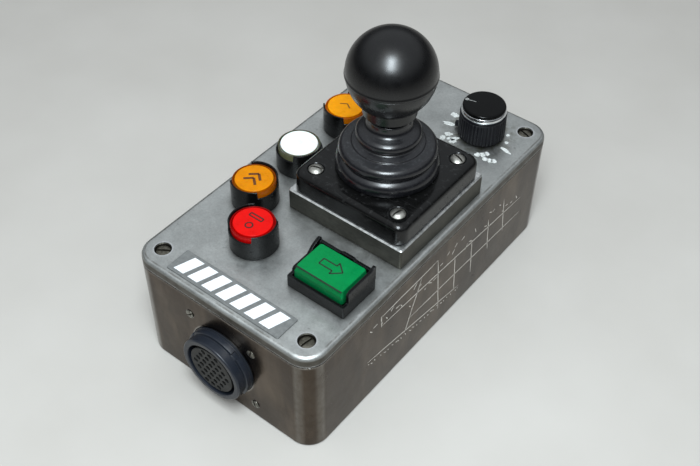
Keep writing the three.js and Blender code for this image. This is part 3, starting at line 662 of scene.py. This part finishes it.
def build_screws():
    for corner, lid_turn, bezel_turn in zip(CORNERS, (35, 80, 112, 161), (20, 75, 120, -15)):
        build_screw("lid_screw_" + corner, 2.85, 1.9, 0.35, 0.75, 0.8, OLD_BRASS,
                    lid_turn, 1.5, 12)
        build_screw("bezel_screw_" + corner, 2.8, 2.0, 1.1, 0.7, 0.9, NICKEL,
                    bezel_turn, 1.15, 24)


def build_label():
    low, high = span("label_plate")
    spot = (low + high) / 2
    size = high - low
    rings = [rounded(size.x - i, size.y - i, 0.5, z, spot.xy) for i, z in
             ((0, low.z), (0, high.z - 0.06), (0.12, high.z))]
    piece("label_plate_face", loft(rings), LABEL, "case", ["label_plate"])
    bars = bmesh.new()
    count, slant, thick, margin = 7, 2.6, 4.5, 2.2
    pitch = (size.x - 2 * margin - slant - thick) / (count - 1)
    y0, y1 = low.y + 1.2, high.y - 1.2
    for i in range(count):
        x = low.x + margin + i * pitch
        prism([(x, y0), (x + thick, y0), (x + thick + slant, y1), (x + slant, y1)],
              high.z - 0.02, high.z + 0.05, bars)
    piece("label_stripes", bars, PRINT, "case")


# ---- joystick


def build_plinth():
    low, high = span("joystick_plinth")
    spot = (low + high) / 2
    width = high.x - low.x
    edge = 0.5
    rings = [(0.2, low.z), (0.0, low.z + 0.2), (0.0, high.z - edge), (edge, high.z),
             (edge + 0.6, high.z)]
    made = to_object("plinth_block", loft([
        rounded(width - 2 * i, width - 2 * i, max(0.9 - i, 0.3), z, spot.xy, 4) for i, z in rings]))
    carve(made, plug(STICK_HOLE, low.z - 1, high.z + 1, (spot.x, spot.y, 0)))
    for look in (PLINTH, BARE):
        made.data.materials.append(look)
    for face in made.data.polygons:
        face.material_index = 1 if face.center.z / MM > high.z - edge - 0.01 else 0
    piece("plinth_block", made, PLINTH, "case", ["joystick_plinth"])


def build_bezel():
    low, high = span("boot_bezel")
    spot = (low + high) / 2
    width = high.x - low.x
    round_over = 2.4
    rings = [(0.5, low.z), (0.0, low.z + 0.5), (0.0, high.z - round_over - 0.3)]
    steps = 8
    for k in range(1, steps + 1):
        turn = 90 * DEG * k / steps
        rings.append((round_over * (1 - math.cos(turn)), high.z - round_over * (1 - math.sin(turn))))
    rings.append((round_over + 1.5, high.z))
    made = to_object("bezel_moulding", loft([
        rounded(width - 2 * i, width - 2 * i, 4.2, z, spot.xy, 12) for i, z in rings]))
    z0, z1 = low.z - 1, high.z
    opening = eased([(0, z0), (19.4, z0), (19.4, low.z + 1.6), (17.0, low.z + 1.6), (17.0, z1 - 0.5),
                     (17.8, z1 + 0.3), (0, z1 + 0.3)])
    cutter = lathe(opening, (spot.x, spot.y, 0))
    screw_hole = [(0, z0), (1.5, z0), (1.5, z1 - 1.0), (3.15, z1 - 1.0), (3.15, z1 - 0.2),
                  (3.6, z1 + 0.25), (0, z1 + 0.25)]
    for corner in CORNERS:
        at = middle("bezel_screw_" + corner)
        lathe(screw_hole, (at.x, at.y, 0), segments=48, bm=cutter)
    carve(made, cutter)
    piece("bezel_moulding", made, BEZEL, "case", ["boot_bezel"])


BOOT_SPLIT = 9.3  # height above the bezel at which the boot's two shells meet


def build_boot():
    """Two shells that meet on the second fold."""
    spot = middle("rubber_boot")
    rim = span("boot_bezel")[1].z
    lower = [(16.2, -0.6), (16.9, 0.1), (18.2, 0.25), (18.65, 1.2), (18.6, 2.9), (18.1, 4.3),
             (17.2, 5.3), (16.2, 5.9), (16.2, 5.9), (16.9, 6.5), (17.45, 7.5), (17.6, 8.5),
             (17.4, BOOT_SPLIT)]
    inside = [(16.3, BOOT_SPLIT - 0.1), (16.5, 8.3), (16.2, 7.4), (15.0, 6.0), (16.8, 4.2), (17.4, 2.2),
              (16.0, 0.9), (15.2, -0.6)]
    flange = [(15.2, -8.3), (19.0, -8.3), (19.0, -7.1), (16.2, -7.0)]
    upper = [(17.4, BOOT_SPLIT), (16.9, 10.05), (16.1, 10.6), (14.8, 10.85), (13.2, 11.1),
             (12.9, 11.5), (12.0, 11.8), (10.7, 12.4), (10.3, 13.1), (10.3, 13.1), (11.1, 13.6),
             (11.6, 14.4), (11.65, 15.3), (11.3, 16.3), (10.5, 16.95), (9.3, 17.6), (8.2, 18.3),
             (7.6, 19.3), (7.4, 20.3), (7.35, 21.1), (7.15, 21.6), (6.6, 21.9), (6.3, 22.4), (6.3, 23.6)]
    lining = [(4.5, 23.6), (4.6, 20.6), (5.8, 18.4), (9.3, 16.3), (10.3, 15.3), (9.5, 14.0), (9.1, 12.4),
              (11.6, 11.1), (13.0, 10.3), (15.6, 10.0), (16.3, BOOT_SPLIT - 0.1)]

    def shell(name, profile, nodes):
        turned = lathe(profile, (spot.x, spot.y, rim), segments=128, closed=True)
        return piece(name, turned, RUBBER, None, nodes, angle=60)

    return (shell("boot_lower", flange + flowing(lower) + inside, ["rubber_boot"]),
            shell("boot_upper", flowing(upper) + lining, []), Vector((spot.x, spot.y, rim)))


def build_ball():
    """A ball on a wide short neck, with a raised ridge round its middle."""
    low, high = span("ball_grip")
    spot = (low + high) / 2
    radius = (high.x - low.x) / 2
    upper, lower, neck, bore = radius - 0.25, radius - 0.35, 9.5, 4.1
    centre = high.z - upper
    profile = [(0, centre - 7.6), (bore, centre - 7.6), (bore, low.z)]
    profile += eased([(bore, low.z), (neck, low.z, 0.35), (neck, centre - 11.9)])[1:-1]
    start = math.asin(neck / lower)
    steps = 24
    for k in range(steps + 1):
        turn = start + (85 * DEG - start) * k / steps
        profile.append((lower * math.sin(turn), centre - lower * math.cos(turn)))
    profile += eased([(lower - 0.10, centre - 1.3), (lower - 0.10, centre - 1.05, 0.15),
                      (radius - 0.1, centre - 0.85, 0.25), (radius, centre - 0.3, 0.3),
                      (upper - 0.02, centre + 0.35, 0.3), (upper - 0.05, centre + 1.2)])
    start = math.asin(1.2 / upper)
    steps = 40
    for k in range(1, steps):
        turn = start + (90 * DEG - start) * k / steps
        profile.append((upper * math.cos(turn), centre + upper * math.sin(turn)))
    profile.append((0, centre + upper))
    piece("ball_grip_moulding", lathe(profile, (spot.x, spot.y, 0), segments=128), GRIP, "stick",
          ["ball_grip"], angle=30)


# ---- push-buttons

# For each round button: the angle where its quarters begin, which of them are tall, and its mark.
BUTTONS = {
    "red_button": (-52, (0, 2), "bar_ring"),
    "amber_button_front": (-130, (0, 2), "chevrons"),
    "white_button": (-65, (0,), None),
    "amber_button_rear": (-147, (0, 2), "single"),
    "green_button": None,
}
BARREL_TOP, BARREL_STEP = 11.0, 3.0
# The colours of each lens: its disc, the moat round the disc, and its side; the moat and side colours
# are darker copies of the disc's plastic, painted shade.
LENS_COLORS = {
    "red_button": ((0.64, 0.004, 0.003), (0.20, 0.001, 0.001), (0.42, 0.001, 0.001)),
    "amber_button_front": ((0.62, 0.205, 0.0006), (0.17, 0.034, 0.0005), (0.36, 0.085, 0.0005)),
    "white_button": ((0.84, 0.87, 0.83), (0.055, 0.056, 0.035), (0.11, 0.11, 0.055)),
    "amber_button_rear": ((0.80, 0.30, 0.001), (0.34, 0.070, 0.0005), (0.50, 0.13, 0.0005)),
    "green_button": ((0.0005, 0.190, 0.048), (0.0003, 0.045, 0.014), (0.0003, 0.110, 0.030)),
}


def barrel_shape(spot, base, begin, tall):
    """A round housing whose rim is high over its tall quarters and lower over the others."""
    columns = []
    steps, slope = 24, 0.8
    for quarter in range(4):
        top = base + BARREL_TOP - (0 if quarter in tall else BARREL_STEP)
        for t in range(steps + 1):
            nudge = slope if t == 0 else -slope if t == steps else 0
            columns.append((begin + 90 * quarter + 90 * t / steps + nudge, top))
    bm = bmesh.new()
    made = []
    for angle, h in columns:
        section = [(3.1, base - 15), (7.85, base - 15), (7.85, base), (8.5, base + 0.05),
                   (8.8, base + 0.3), (8.8, h - 0.3), (8.72, h - 0.08), (8.55, h), (8.36, h),
                   (8.2, h - 0.1), (8.12, h - 0.35), (8.12, base + 2), (3.1, base + 2)]
        x, y = math.cos(angle * DEG), math.sin(angle * DEG)
        made.append([bm.verts.new((spot.x + r * x, spot.y + r * y, z)) for r, z in section])
    for ring, following in zip(made, made[1:] + made[:1]):
        bridge(bm, ring, following)
    return bm


def engraving(kind, spot, z, bm):
    """Generic marks: thin dark lines on a lens."""
    def line(points, width=0.5):
        for start, end in zip(points, points[1:]):
            ribbon([(spot.x + x, spot.y + y) for x, y in (start, end)], width, z - 0.03, z + 0.015, bm)

    if kind == "bar_ring":
        line([(-3.2, 1.6), (2.4, 1.6), (2.4, 3.0), (-3.2, 3.0), (-3.2, 1.6)])
        cx, cy, radius, sides = 0.2, -2.2, 1.3, 20
        turns = [2 * math.pi * k / sides for k in range(sides + 1)]
        line([(cx + radius * math.cos(turn), cy + radius * math.sin(turn)) for turn in turns])
    elif kind == "chevrons":
        for y in (1.5, -1.3):
            line([(-2.8, y - 1.3), (0, y + 1.2), (2.8, y - 1.3)], 1.0)
    elif kind == "single":
        line([(-2.4, -0.6), (0, 1.0), (2.4, -0.6)], 0.45)
    elif kind == "arrow":
        line([(-4.4, -1.0), (1.2, -1.0), (1.2, -2.6), (4.6, 0.4), (1.2, 3.2), (1.2, 1.7), (-4.4, 1.7),
              (-4.4, -1.0)])


def build_round_button(name):
    begin, tall, mark = BUTTONS[name]
    spot = middle(name + "_housing")
    piece(name + "_barrel", barrel_shape(spot, LID_TOP, begin, tall), BARREL, "case",
          [name + "_housing"], angle=50)
    crown = span(name + "_lens")[1].z - LID_TOP
    disc, rim = 7.0, 8.0
    upper = [(rim, crown - 0.45, 0.35), (rim - 0.38, crown - 0.45, 0.12),
             (disc + 0.35, crown - 1.2, 0.1), (disc + 0.12, crown - 1.2, 0.1),
             (disc, crown - 0.14, 0.3), (0, crown)]
    profile = eased([(0, -13.5), (3, -13.5), (3, 4.5), (rim - 0.1, 4.5, 0.3)] + upper)
    profile = [(r, z + LID_TOP) for r, z in profile]
    look = lens(name + "_plastic", *LENS_COLORS[name], spot, disc + 0.02,
                0.5 if name == "red_button" else 0.2)
    piece(name + "_cap", lathe(profile, (spot.x, spot.y, 0)), look, name + "_cap",
          [name + "_lens"])
    if mark:
        marks = bmesh.new()
        engraving(mark, spot, LID_TOP + crown, marks)
        piece(name + "_mark", marks, AMBER_INK if "amber" in name else INK, name + "_cap")


def build_green_button():
    name = "green_button"
    low, high = span(name + "_housing")
    spot = middle(name + "_nut")
    width, depth = high.x - low.x, high.y - low.y
    x, y = width / 2, depth / 2
    wall, base, foot = 1.2, 5.1, 4.9

    def shifted(px, py, pz):
        return (spot.x + px, spot.y + py, LID_TOP + pz)

    made = to_object("green_barrel", loft([
        rounded(width - 2 * i, depth - 2 * i, 0.5, LID_TOP + z, spot.xy, 3)
        for i, z in ((0.2, 0.05), (0.0, 0.3), (0.0, base))
    ]))
    carve(made, block(shifted(-x + wall, -y + wall, 2), shifted(x - wall, y - wall, 20)))

    def cheek(x0, x1, outline):
        """An upright wall: the outline runs along Y and Z."""
        return loft([[shifted(px, py, pz) for py, pz in outline] for px in (x0, x1)])

    front = -y + 2.8
    walls = [
        cheek(-x, -x + wall, [(front, foot), (y, foot), (y, 10.0), (y - 1.0, 10.6), (y - 3.2, 9.9),
                              (y - 4.6, 9.2), (y - 6.9, 7.0), (front + 0.8, 6.9), (front, 6.0)]),
        cheek(x - wall, x, [(front, foot), (y, foot), (y, 11.0), (y - 0.7, 11.2), (y - 2.4, 10.1),
                            (front + 1.4, 10.0), (front, 9.2)]),
        loft([[shifted(px, py, pz) for px, pz in
               ((-x + 0.3, foot), (x - 0.3, foot), (x - 0.3, 9.0), (4.0, 9.0), (3.2, 9.7), (-1.5, 9.7),
                (-2.3, 9.0), (-x + 0.3, 9.2))] for py in (y - wall, y)]),
    ]
    merge = bmesh.new()
    for part in [made] + [to_object("cheek", bm) for bm in walls]:
        merge.from_mesh(part.data)
        bpy.data.objects.remove(part)
    merged = bpy.data.meshes.new("merged")
    merge.to_mesh(merged)
    merge.free()
    whole = put("green_barrel", merged)
    soften(whole, 0.14, 2, 40)
    neck = to_object("neck", lathe([(3.1, -15), (7.85, -15), (7.85, 2.1), (3.1, 2.1)],
                                   (spot.x, spot.y, LID_TOP), segments=64, closed=True))
    piece("green_button_barrel", whole, BARREL, "case", [name + "_housing"])
    piece("green_button_neck", neck, BARREL, "case")

    top = span(name + "_lens")[1].z - LID_TOP
    # Width, depth and height of each outline, and how far back its middle stands.
    rings = [(20.6, 14.0, 4.5, -0.15), (20.9, 14.3, 4.8, -0.15), (20.7, 14.2, 7.4, -0.15),
             (20.2, 13.7, 7.9, 0), (19.7, 13.4, top - 0.5, 0.1), (19.4, 13.1, top - 0.12, 0.1),
             (18.9, 12.6, top, 0.1)]
    cap = loft([rounded(w, d, 0.9, LID_TOP + z, (spot.x, spot.y + back), 5) for w, d, z, back in rings])
    stem = plug(3, -13.5, 4.6, (spot.x, spot.y, LID_TOP), segments=48)
    look = lens("green_button_plastic", *LENS_COLORS[name], scuffed=0.25)
    marks, edge = bmesh.new(), bmesh.new()
    engraving("arrow", spot, LID_TOP + top, marks)
    half, front_y = 9.6, spot.y - 6.55
    ribbon([(spot.x - half, front_y), (spot.x + half, front_y)], 0.45,
           LID_TOP + top - 0.16, LID_TOP + top - 0.05, edge)
    for suffix, shape, finish in (("_cap", cap, look), ("_stem", stem, look), ("_mark", marks, INK),
                                  ("_edge_line", edge, INK)):
        piece(name + suffix, shape, finish, name + "_cap",
              [name + "_lens"] if shape is cap else [])


# ---- knob and its dial

KNOB_POINTER = -165  # the direction of its nib and line, in degrees


def build_knob():
    spot = middle("speed_pot_nut")
    at = (spot.x, spot.y, LID_TOP)
    ribs = 40

    def fluted(angle, radius, height):
        if radius < 8.5 or not 0.9 < height < 10.2:
            return radius
        return radius - 0.24 * (0.5 + 0.5 * math.cos(ribs * angle)) ** 2

    skirt = eased([(3.05, 4.6), (7.2, 4.6), (7.2, 0.8), (9.1, 0.8, 0.3), (9.35, 1.2), (9.25, 5.0),
                   (9.1, 9.9), (9.05, 10.3), (9.15, 10.6), (9.1, 11.2, 0.2), (8.7, 11.5), (3.05, 11.5)])
    made = lathe(skirt, at, segments=ribs * 8, ribs=fluted, closed=True)
    piece("knob_skirt_ribbed", made, KNOB, "knob", ["knob_skirt"], angle=50)
    nib = to_object("knob_nib", placed(block((8.9, -0.85, 0.8), (10.75, 0.85, 2.9)), KNOB_POINTER, at))
    soften(nib, 0.3, 3)
    piece("knob_nib", nib, KNOB, "knob")
    ring = eased([(6.1, 11.6), (8.85, 11.6, 0.1), (8.88, 12.5, 0.3), (8.5, 13.2, 0.1), (6.1, 13.2)])
    piece("knob_ring_turned", lathe(ring, at, segments=128, closed=True), RING, "knob",
          ["knob_ring"])
    cap = eased([(0, 11.7), (6, 11.7), (6, 13.3), (8.42, 13.3, 0.1), (8.45, 14.1, 0.5),
                 (7.9, 14.62, 0.4), (0, 14.7)])
    crown = to_object("knob_cap_disc", lathe(cap, at, segments=128))
    carve(crown, placed(block((2.6, -0.3, 14.45), (9.0, 0.3, 16)), KNOB_POINTER, at))
    piece("knob_cap_disc", crown, CAP, "knob", ["knob_cap"])
    line = block((3.4, -0.24, 14.4), (6.9, 0.24, 14.52))
    lathe([(0, 14.5), (0.75, 14.5), (0.75, 14.74), (0, 14.78)], (7.1, 0, 0), segments=16, bm=line)
    piece("knob_pointer", placed(line, KNOB_POINTER, at), WORN_PAINT, "knob")


def build_dial():
    """Worn white paint round the knob: ticks and dots, uneven at their edges."""
    spot = middle("speed_pot_nut")
    luck = random.Random(11)
    bm = bmesh.new()
    z0, z1 = LID_TOP - 0.01, LID_TOP + 0.05
    sides, swell = 14, 1.45
    # Distance from the knob's axis, angle, size, and length against width.
    for radius, angle, size, aspect in (
        (14.6, 168, 0.95, 1.3), (13.2, -168, 0.75, 2.6), (15.6, -131, 0.85, 1.0),
        (12.9, -139, 0.75, 1.5), (11.3, -124, 0.75, 1.7), (12.4, -118, 0.8, 1.4),
        (13.2, -128, 0.5, 1.6), (13.2, -63, 0.75, 1.1), (12.8, -54, 0.75, 1.2),
        (12.5, -46, 0.7, 1.1), (15.5, -51, 0.7, 1.3), (16.4, -45, 0.65, 1.3),
        (17.0, -40, 0.65, 1.1), (13.6, -12, 0.5, 3.6), (11.1, 7, 0.55, 1.0), (10.6, 32, 0.5, 1.0),
    ):
        c, s = math.cos(angle * DEG), math.sin(angle * DEG)
        outline = []
        for k in range(sides):
            a = 2 * math.pi * k / sides
            r = size * swell * (0.75 + 0.5 * luck.random())
            along, across = radius + r * math.cos(a) * aspect, r * math.sin(a)
            outline.append((spot.x + along * c - across * s, spot.y + along * s + across * c))
        prism(outline, z0, z1, bm)
    piece("dial_marks", bm, PAINT, "case")


# ---- socket


def build_socket():
    centre = middle("socket_shell")
    at = (centre.x, FACE, centre.z)
    # Heights run outwards from the wall, along -Y.
    outer = eased([
        (9.85, -14), (12.4, -14, 0.3), (12.4, -3.8), (13.9, -3.8), (13.9, 0.25), (13.5, 0.4),
        (13.5, 0.75), (13.9, 0.9, 0.1), (13.9, 2.75, 0.2), (12.95, 2.95), (12.95, 3.2),
        (13.2, 3.35, 0.1), (13.2, 6.1, 0.45), (12.75, 6.5, 0.2), (11.2, 6.5, 0.2), (10.95, 6.2),
        (10.95, 1.1), (9.85, 1.1),
    ])

    def notched(angle, radius, height):
        for where, half in ((52, 5), (-38, 5), (142, 4), (-128, 5)):
            off = (angle / DEG - where + 180) % 360 - 180
            if abs(off) < half and radius > 13.3 and 0.8 < height < 2.9:
                return radius - 0.7
        return radius

    shell = lathe(outer, at, "Y", 288, ribs=notched, closed=True)
    half = 17.4
    flange = to_object("socket_flange", block((at[0] - half, FACE + 3.2, at[2] - half),
                                              (at[0] + half, FACE + 5.2, at[2] + half)))
    carve(flange, plug(12.5, -10, 0, at, "Y"))
    piece("socket_barrel", shell, SHELL, "case", ["socket_shell"], angle=30)
    piece("socket_flange", flange, SHELL, "case")

    front, floor, pitch = 6.1, 3.9, 2.95
    insert = to_object("socket_insulator", lathe(
        eased([(0, -12), (9.7, -12), (9.7, front, 0.3), (0, front)]), at, "Y", 128))
    cup = [(0, floor), (0.95, floor), (0.95, 5.6), (0.6, 5.8), (0.6, 4.2), (0, 4.2)]
    holes, cups = bmesh.new(), bmesh.new()
    for row, count in enumerate((3, 4, 5, 6, 5, 4, 3)):
        for i in range(count):
            contact = (at[0] + (i - (count - 1) / 2) * pitch, FACE,
                       at[2] + (3 - row) * pitch * math.sin(60 * DEG))
            plug(1.0, floor, front + 1, contact, "Y", 20, holes)
            lathe(cup, contact, "Y", 16, cups)
    carve(insert, holes)
    piece("socket_insulator", insert, INSERT, "case", ["socket_insert"])
    piece("socket_contacts", cups, CONTACT, "case")


def build_socket_screws():
    profile = eased([(0, -6), (1.15, -6), (1.15, 0.02), (1.7, 0.02), (1.7, 0.32, 0.2), (0.9, 0.55, 0.4),
                     (0, 0.62)])
    turns = {"lower_left": 25, "lower_right": 70, "upper_left": 140, "upper_right": 100}
    for corner, turn in turns.items():
        node = "socket_screw_" + corner
        spot = middle(node)
        made = to_object(node + "_head", lathe(profile, (spot.x, FACE, spot.z), "Y", 48))
        slot_floor = (spot.x, FACE - 0.15, spot.z)
        carve(made, placed(block((-3, -3, -0.25), (3, 0, 0.25)), turn, slot_floor, "Y"))
        piece(node + "_head", made, TARNISHED, "case", [node])


# ---- scribed lines on the right-hand side


def build_scribing():
    """Shallow hand-drawn guide lines, crossed by short strokes: no letters and no figures."""
    luck = random.Random(5)
    side = span("enclosure_body")[1].x
    bm = bmesh.new()

    def on_side(p):
        return (side + p.z, p.x, p.y)

    def stroke(y0, z0, y1, z1, width):
        steps, wobble = 6, 0.12
        points = []
        for k in range(steps + 1):
            t = k / steps
            points.append((y0 + (y1 - y0) * t + luck.uniform(-wobble, wobble),
                           z0 + (z1 - z0) * t + luck.uniform(-wobble, wobble)))
        ribbon(points, width, -0.02, 0.012, bm, on_side, 0.3)

    for y0, z0, y1, z1 in (
        (-37, 33.5, 56, 27), (-37, 38.5, -3, 38.8), (-44, 20.5, 14, 10.6), (-20, 22, 57, 18),
        (-13, 38, -22, 15), (-3, 39, 0.5, 9), (9, 31, 11, 10.5), (20.5, 30, 22.5, 11),
        (31.5, 33, 33.8, 15), (42, 36, 44.5, 17), (-37, 39, -36.5, 33),
    ):
        stroke(y0, z0, y1, z1, 0.5)
    for k in range(30):
        y = -44 + 3.3 * k + luck.uniform(-1.2, 1.2)
        z = luck.choice((30.5, 35.5)) + luck.uniform(-1.5, 1.5)
        stroke(y, z, y + luck.uniform(0.8, 2.6), z + luck.uniform(-2.4, 2.4), 0.40)
    for k in range(26):
        y = -44 + 2.3 * k + luck.uniform(-0.8, 0.8)
        z = 18.5 - 0.16 * (y + 44) + luck.uniform(-0.6, 0.6)
        stroke(y, z, y + luck.uniform(0.3, 1.4), z - luck.uniform(0.4, 1.5), 0.34)
    piece("side_scribing", bm, SCRIBE, "case")


# ---- assembly

INNER_LOOKS = {
    "joystick_frame": INNER, "joystick_pot_x": CAN, "joystick_pot_y": CAN, "speed_pot_body": CAN,
    "centring_spring_x": STEEL, "centring_spring_y": STEEL, "gimbal_ring": STEEL, "stick_shaft": STEEL,
    "speed_pot_nut": STEEL, "speed_pot_shaft": STEEL,
}


def build_floor():
    look = Look("studio_floor")
    look.set(rough=0.75, color=look.ramp(look.noise(60.0, 4.0, 0.5),
                                         (0.3, (0.49, 0.465, 0.43)), (0.7, (0.53, 0.505, 0.47))))
    size = 3.0
    mesh = bpy.data.meshes.new("floor")
    corners = [(-size, -size, 0), (size, -size, 0), (size, size, 0), (-size, size, 0)]
    mesh.from_pydata(corners, [], [(0, 1, 2, 3)])
    mesh.materials.append(look.material)
    floor = put("floor", mesh)


def area_light(name, at, size, power, color):
    """A rectangular lamp that shines on the middle of the object; lengths are in metres."""
    light = bpy.data.lights.new(name, "AREA")
    light.shape = "RECTANGLE"
    light.size, light.size_y = size
    light.energy = power
    light.color = color
    lamp = put(name, light)
    lamp.location = at
    target = Vector((0.01, 0.0, 0.08))
    lamp.rotation_euler = (target - Vector(at)).to_track_quat("-Z", "Y").to_euler()


def build_studio():
    """A room dim at the horizon and soft grey overhead, with two lamps above the camera."""
    world = bpy.data.worlds.new("studio")
    world.use_nodes = True
    tree = world.node_tree
    background = tree.nodes["Background"]
    up = tree.nodes.new("ShaderNodeSeparateXYZ")
    tree.links.new(tree.nodes.new("ShaderNodeTexCoord").outputs["Generated"], up.inputs[0])
    ramp = tree.nodes.new("ShaderNodeValToRGB")
    tree.links.new(up.outputs["Z"], ramp.inputs["Fac"])
    tree.links.new(ramp.outputs["Color"], background.inputs["Color"])
    greys = ((0.0, 0.05), (0.28, 0.11), (0.52, 0.60), (0.85, 0.70))
    fill_ramp(ramp, [(height, (grey * 0.94, grey * 0.99, grey * 1.03)) for height, grey in greys])
    scene.world = world
    area_light("key", (0.150, -0.215, 0.465), (0.13, 0.24), 2.8, (0.84, 0.94, 1.0))
    area_light("fill", (0.100, -0.200, 0.520), (0.38, 0.46), 0.4, (1.0, 0.98, 0.95))
    scene.view_settings.view_transform = "Standard"


def build_camera():
    azimuth, elevation, roll = 37.671, 45.397, 0.817
    camera = bpy.data.cameras.new("camera")
    camera.lens = 52.973
    camera.sensor_width = 36.0
    camera.clip_start = 0.01
    eye = put("camera", camera)
    eye.location = (0.17049, -0.22358, 0.30991)
    turn = (Matrix.Rotation(azimuth * DEG, 4, "Z") @ Matrix.Rotation((90 - elevation) * DEG, 4, "X")
            @ Matrix.Rotation(roll * DEG, 4, "Z"))
    eye.rotation_euler = turn.to_euler()
    scene.camera = eye


build_camera()
build_studio()
build_floor()
build_body()
build_lid()
build_screws()
build_label()
build_plinth()
build_bezel()
boot_lower, boot_upper, boot_axis = build_boot()
build_ball()
for button in BUTTONS:
    if button != "green_button":
        build_round_button(button)
build_green_button()
build_knob()
build_dial()
build_socket()
build_socket_screws()
build_scribing()
for node, look in INNER_LOOKS.items():
    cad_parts[node].material_slots[0].material = look
for button in BUTTONS:
    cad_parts[button + "_nut"].material_slots[0].material = INNER
    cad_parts[button + "_switch"].material_slots[0].material = SWITCH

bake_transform(boot_lower)
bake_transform(boot_upper)
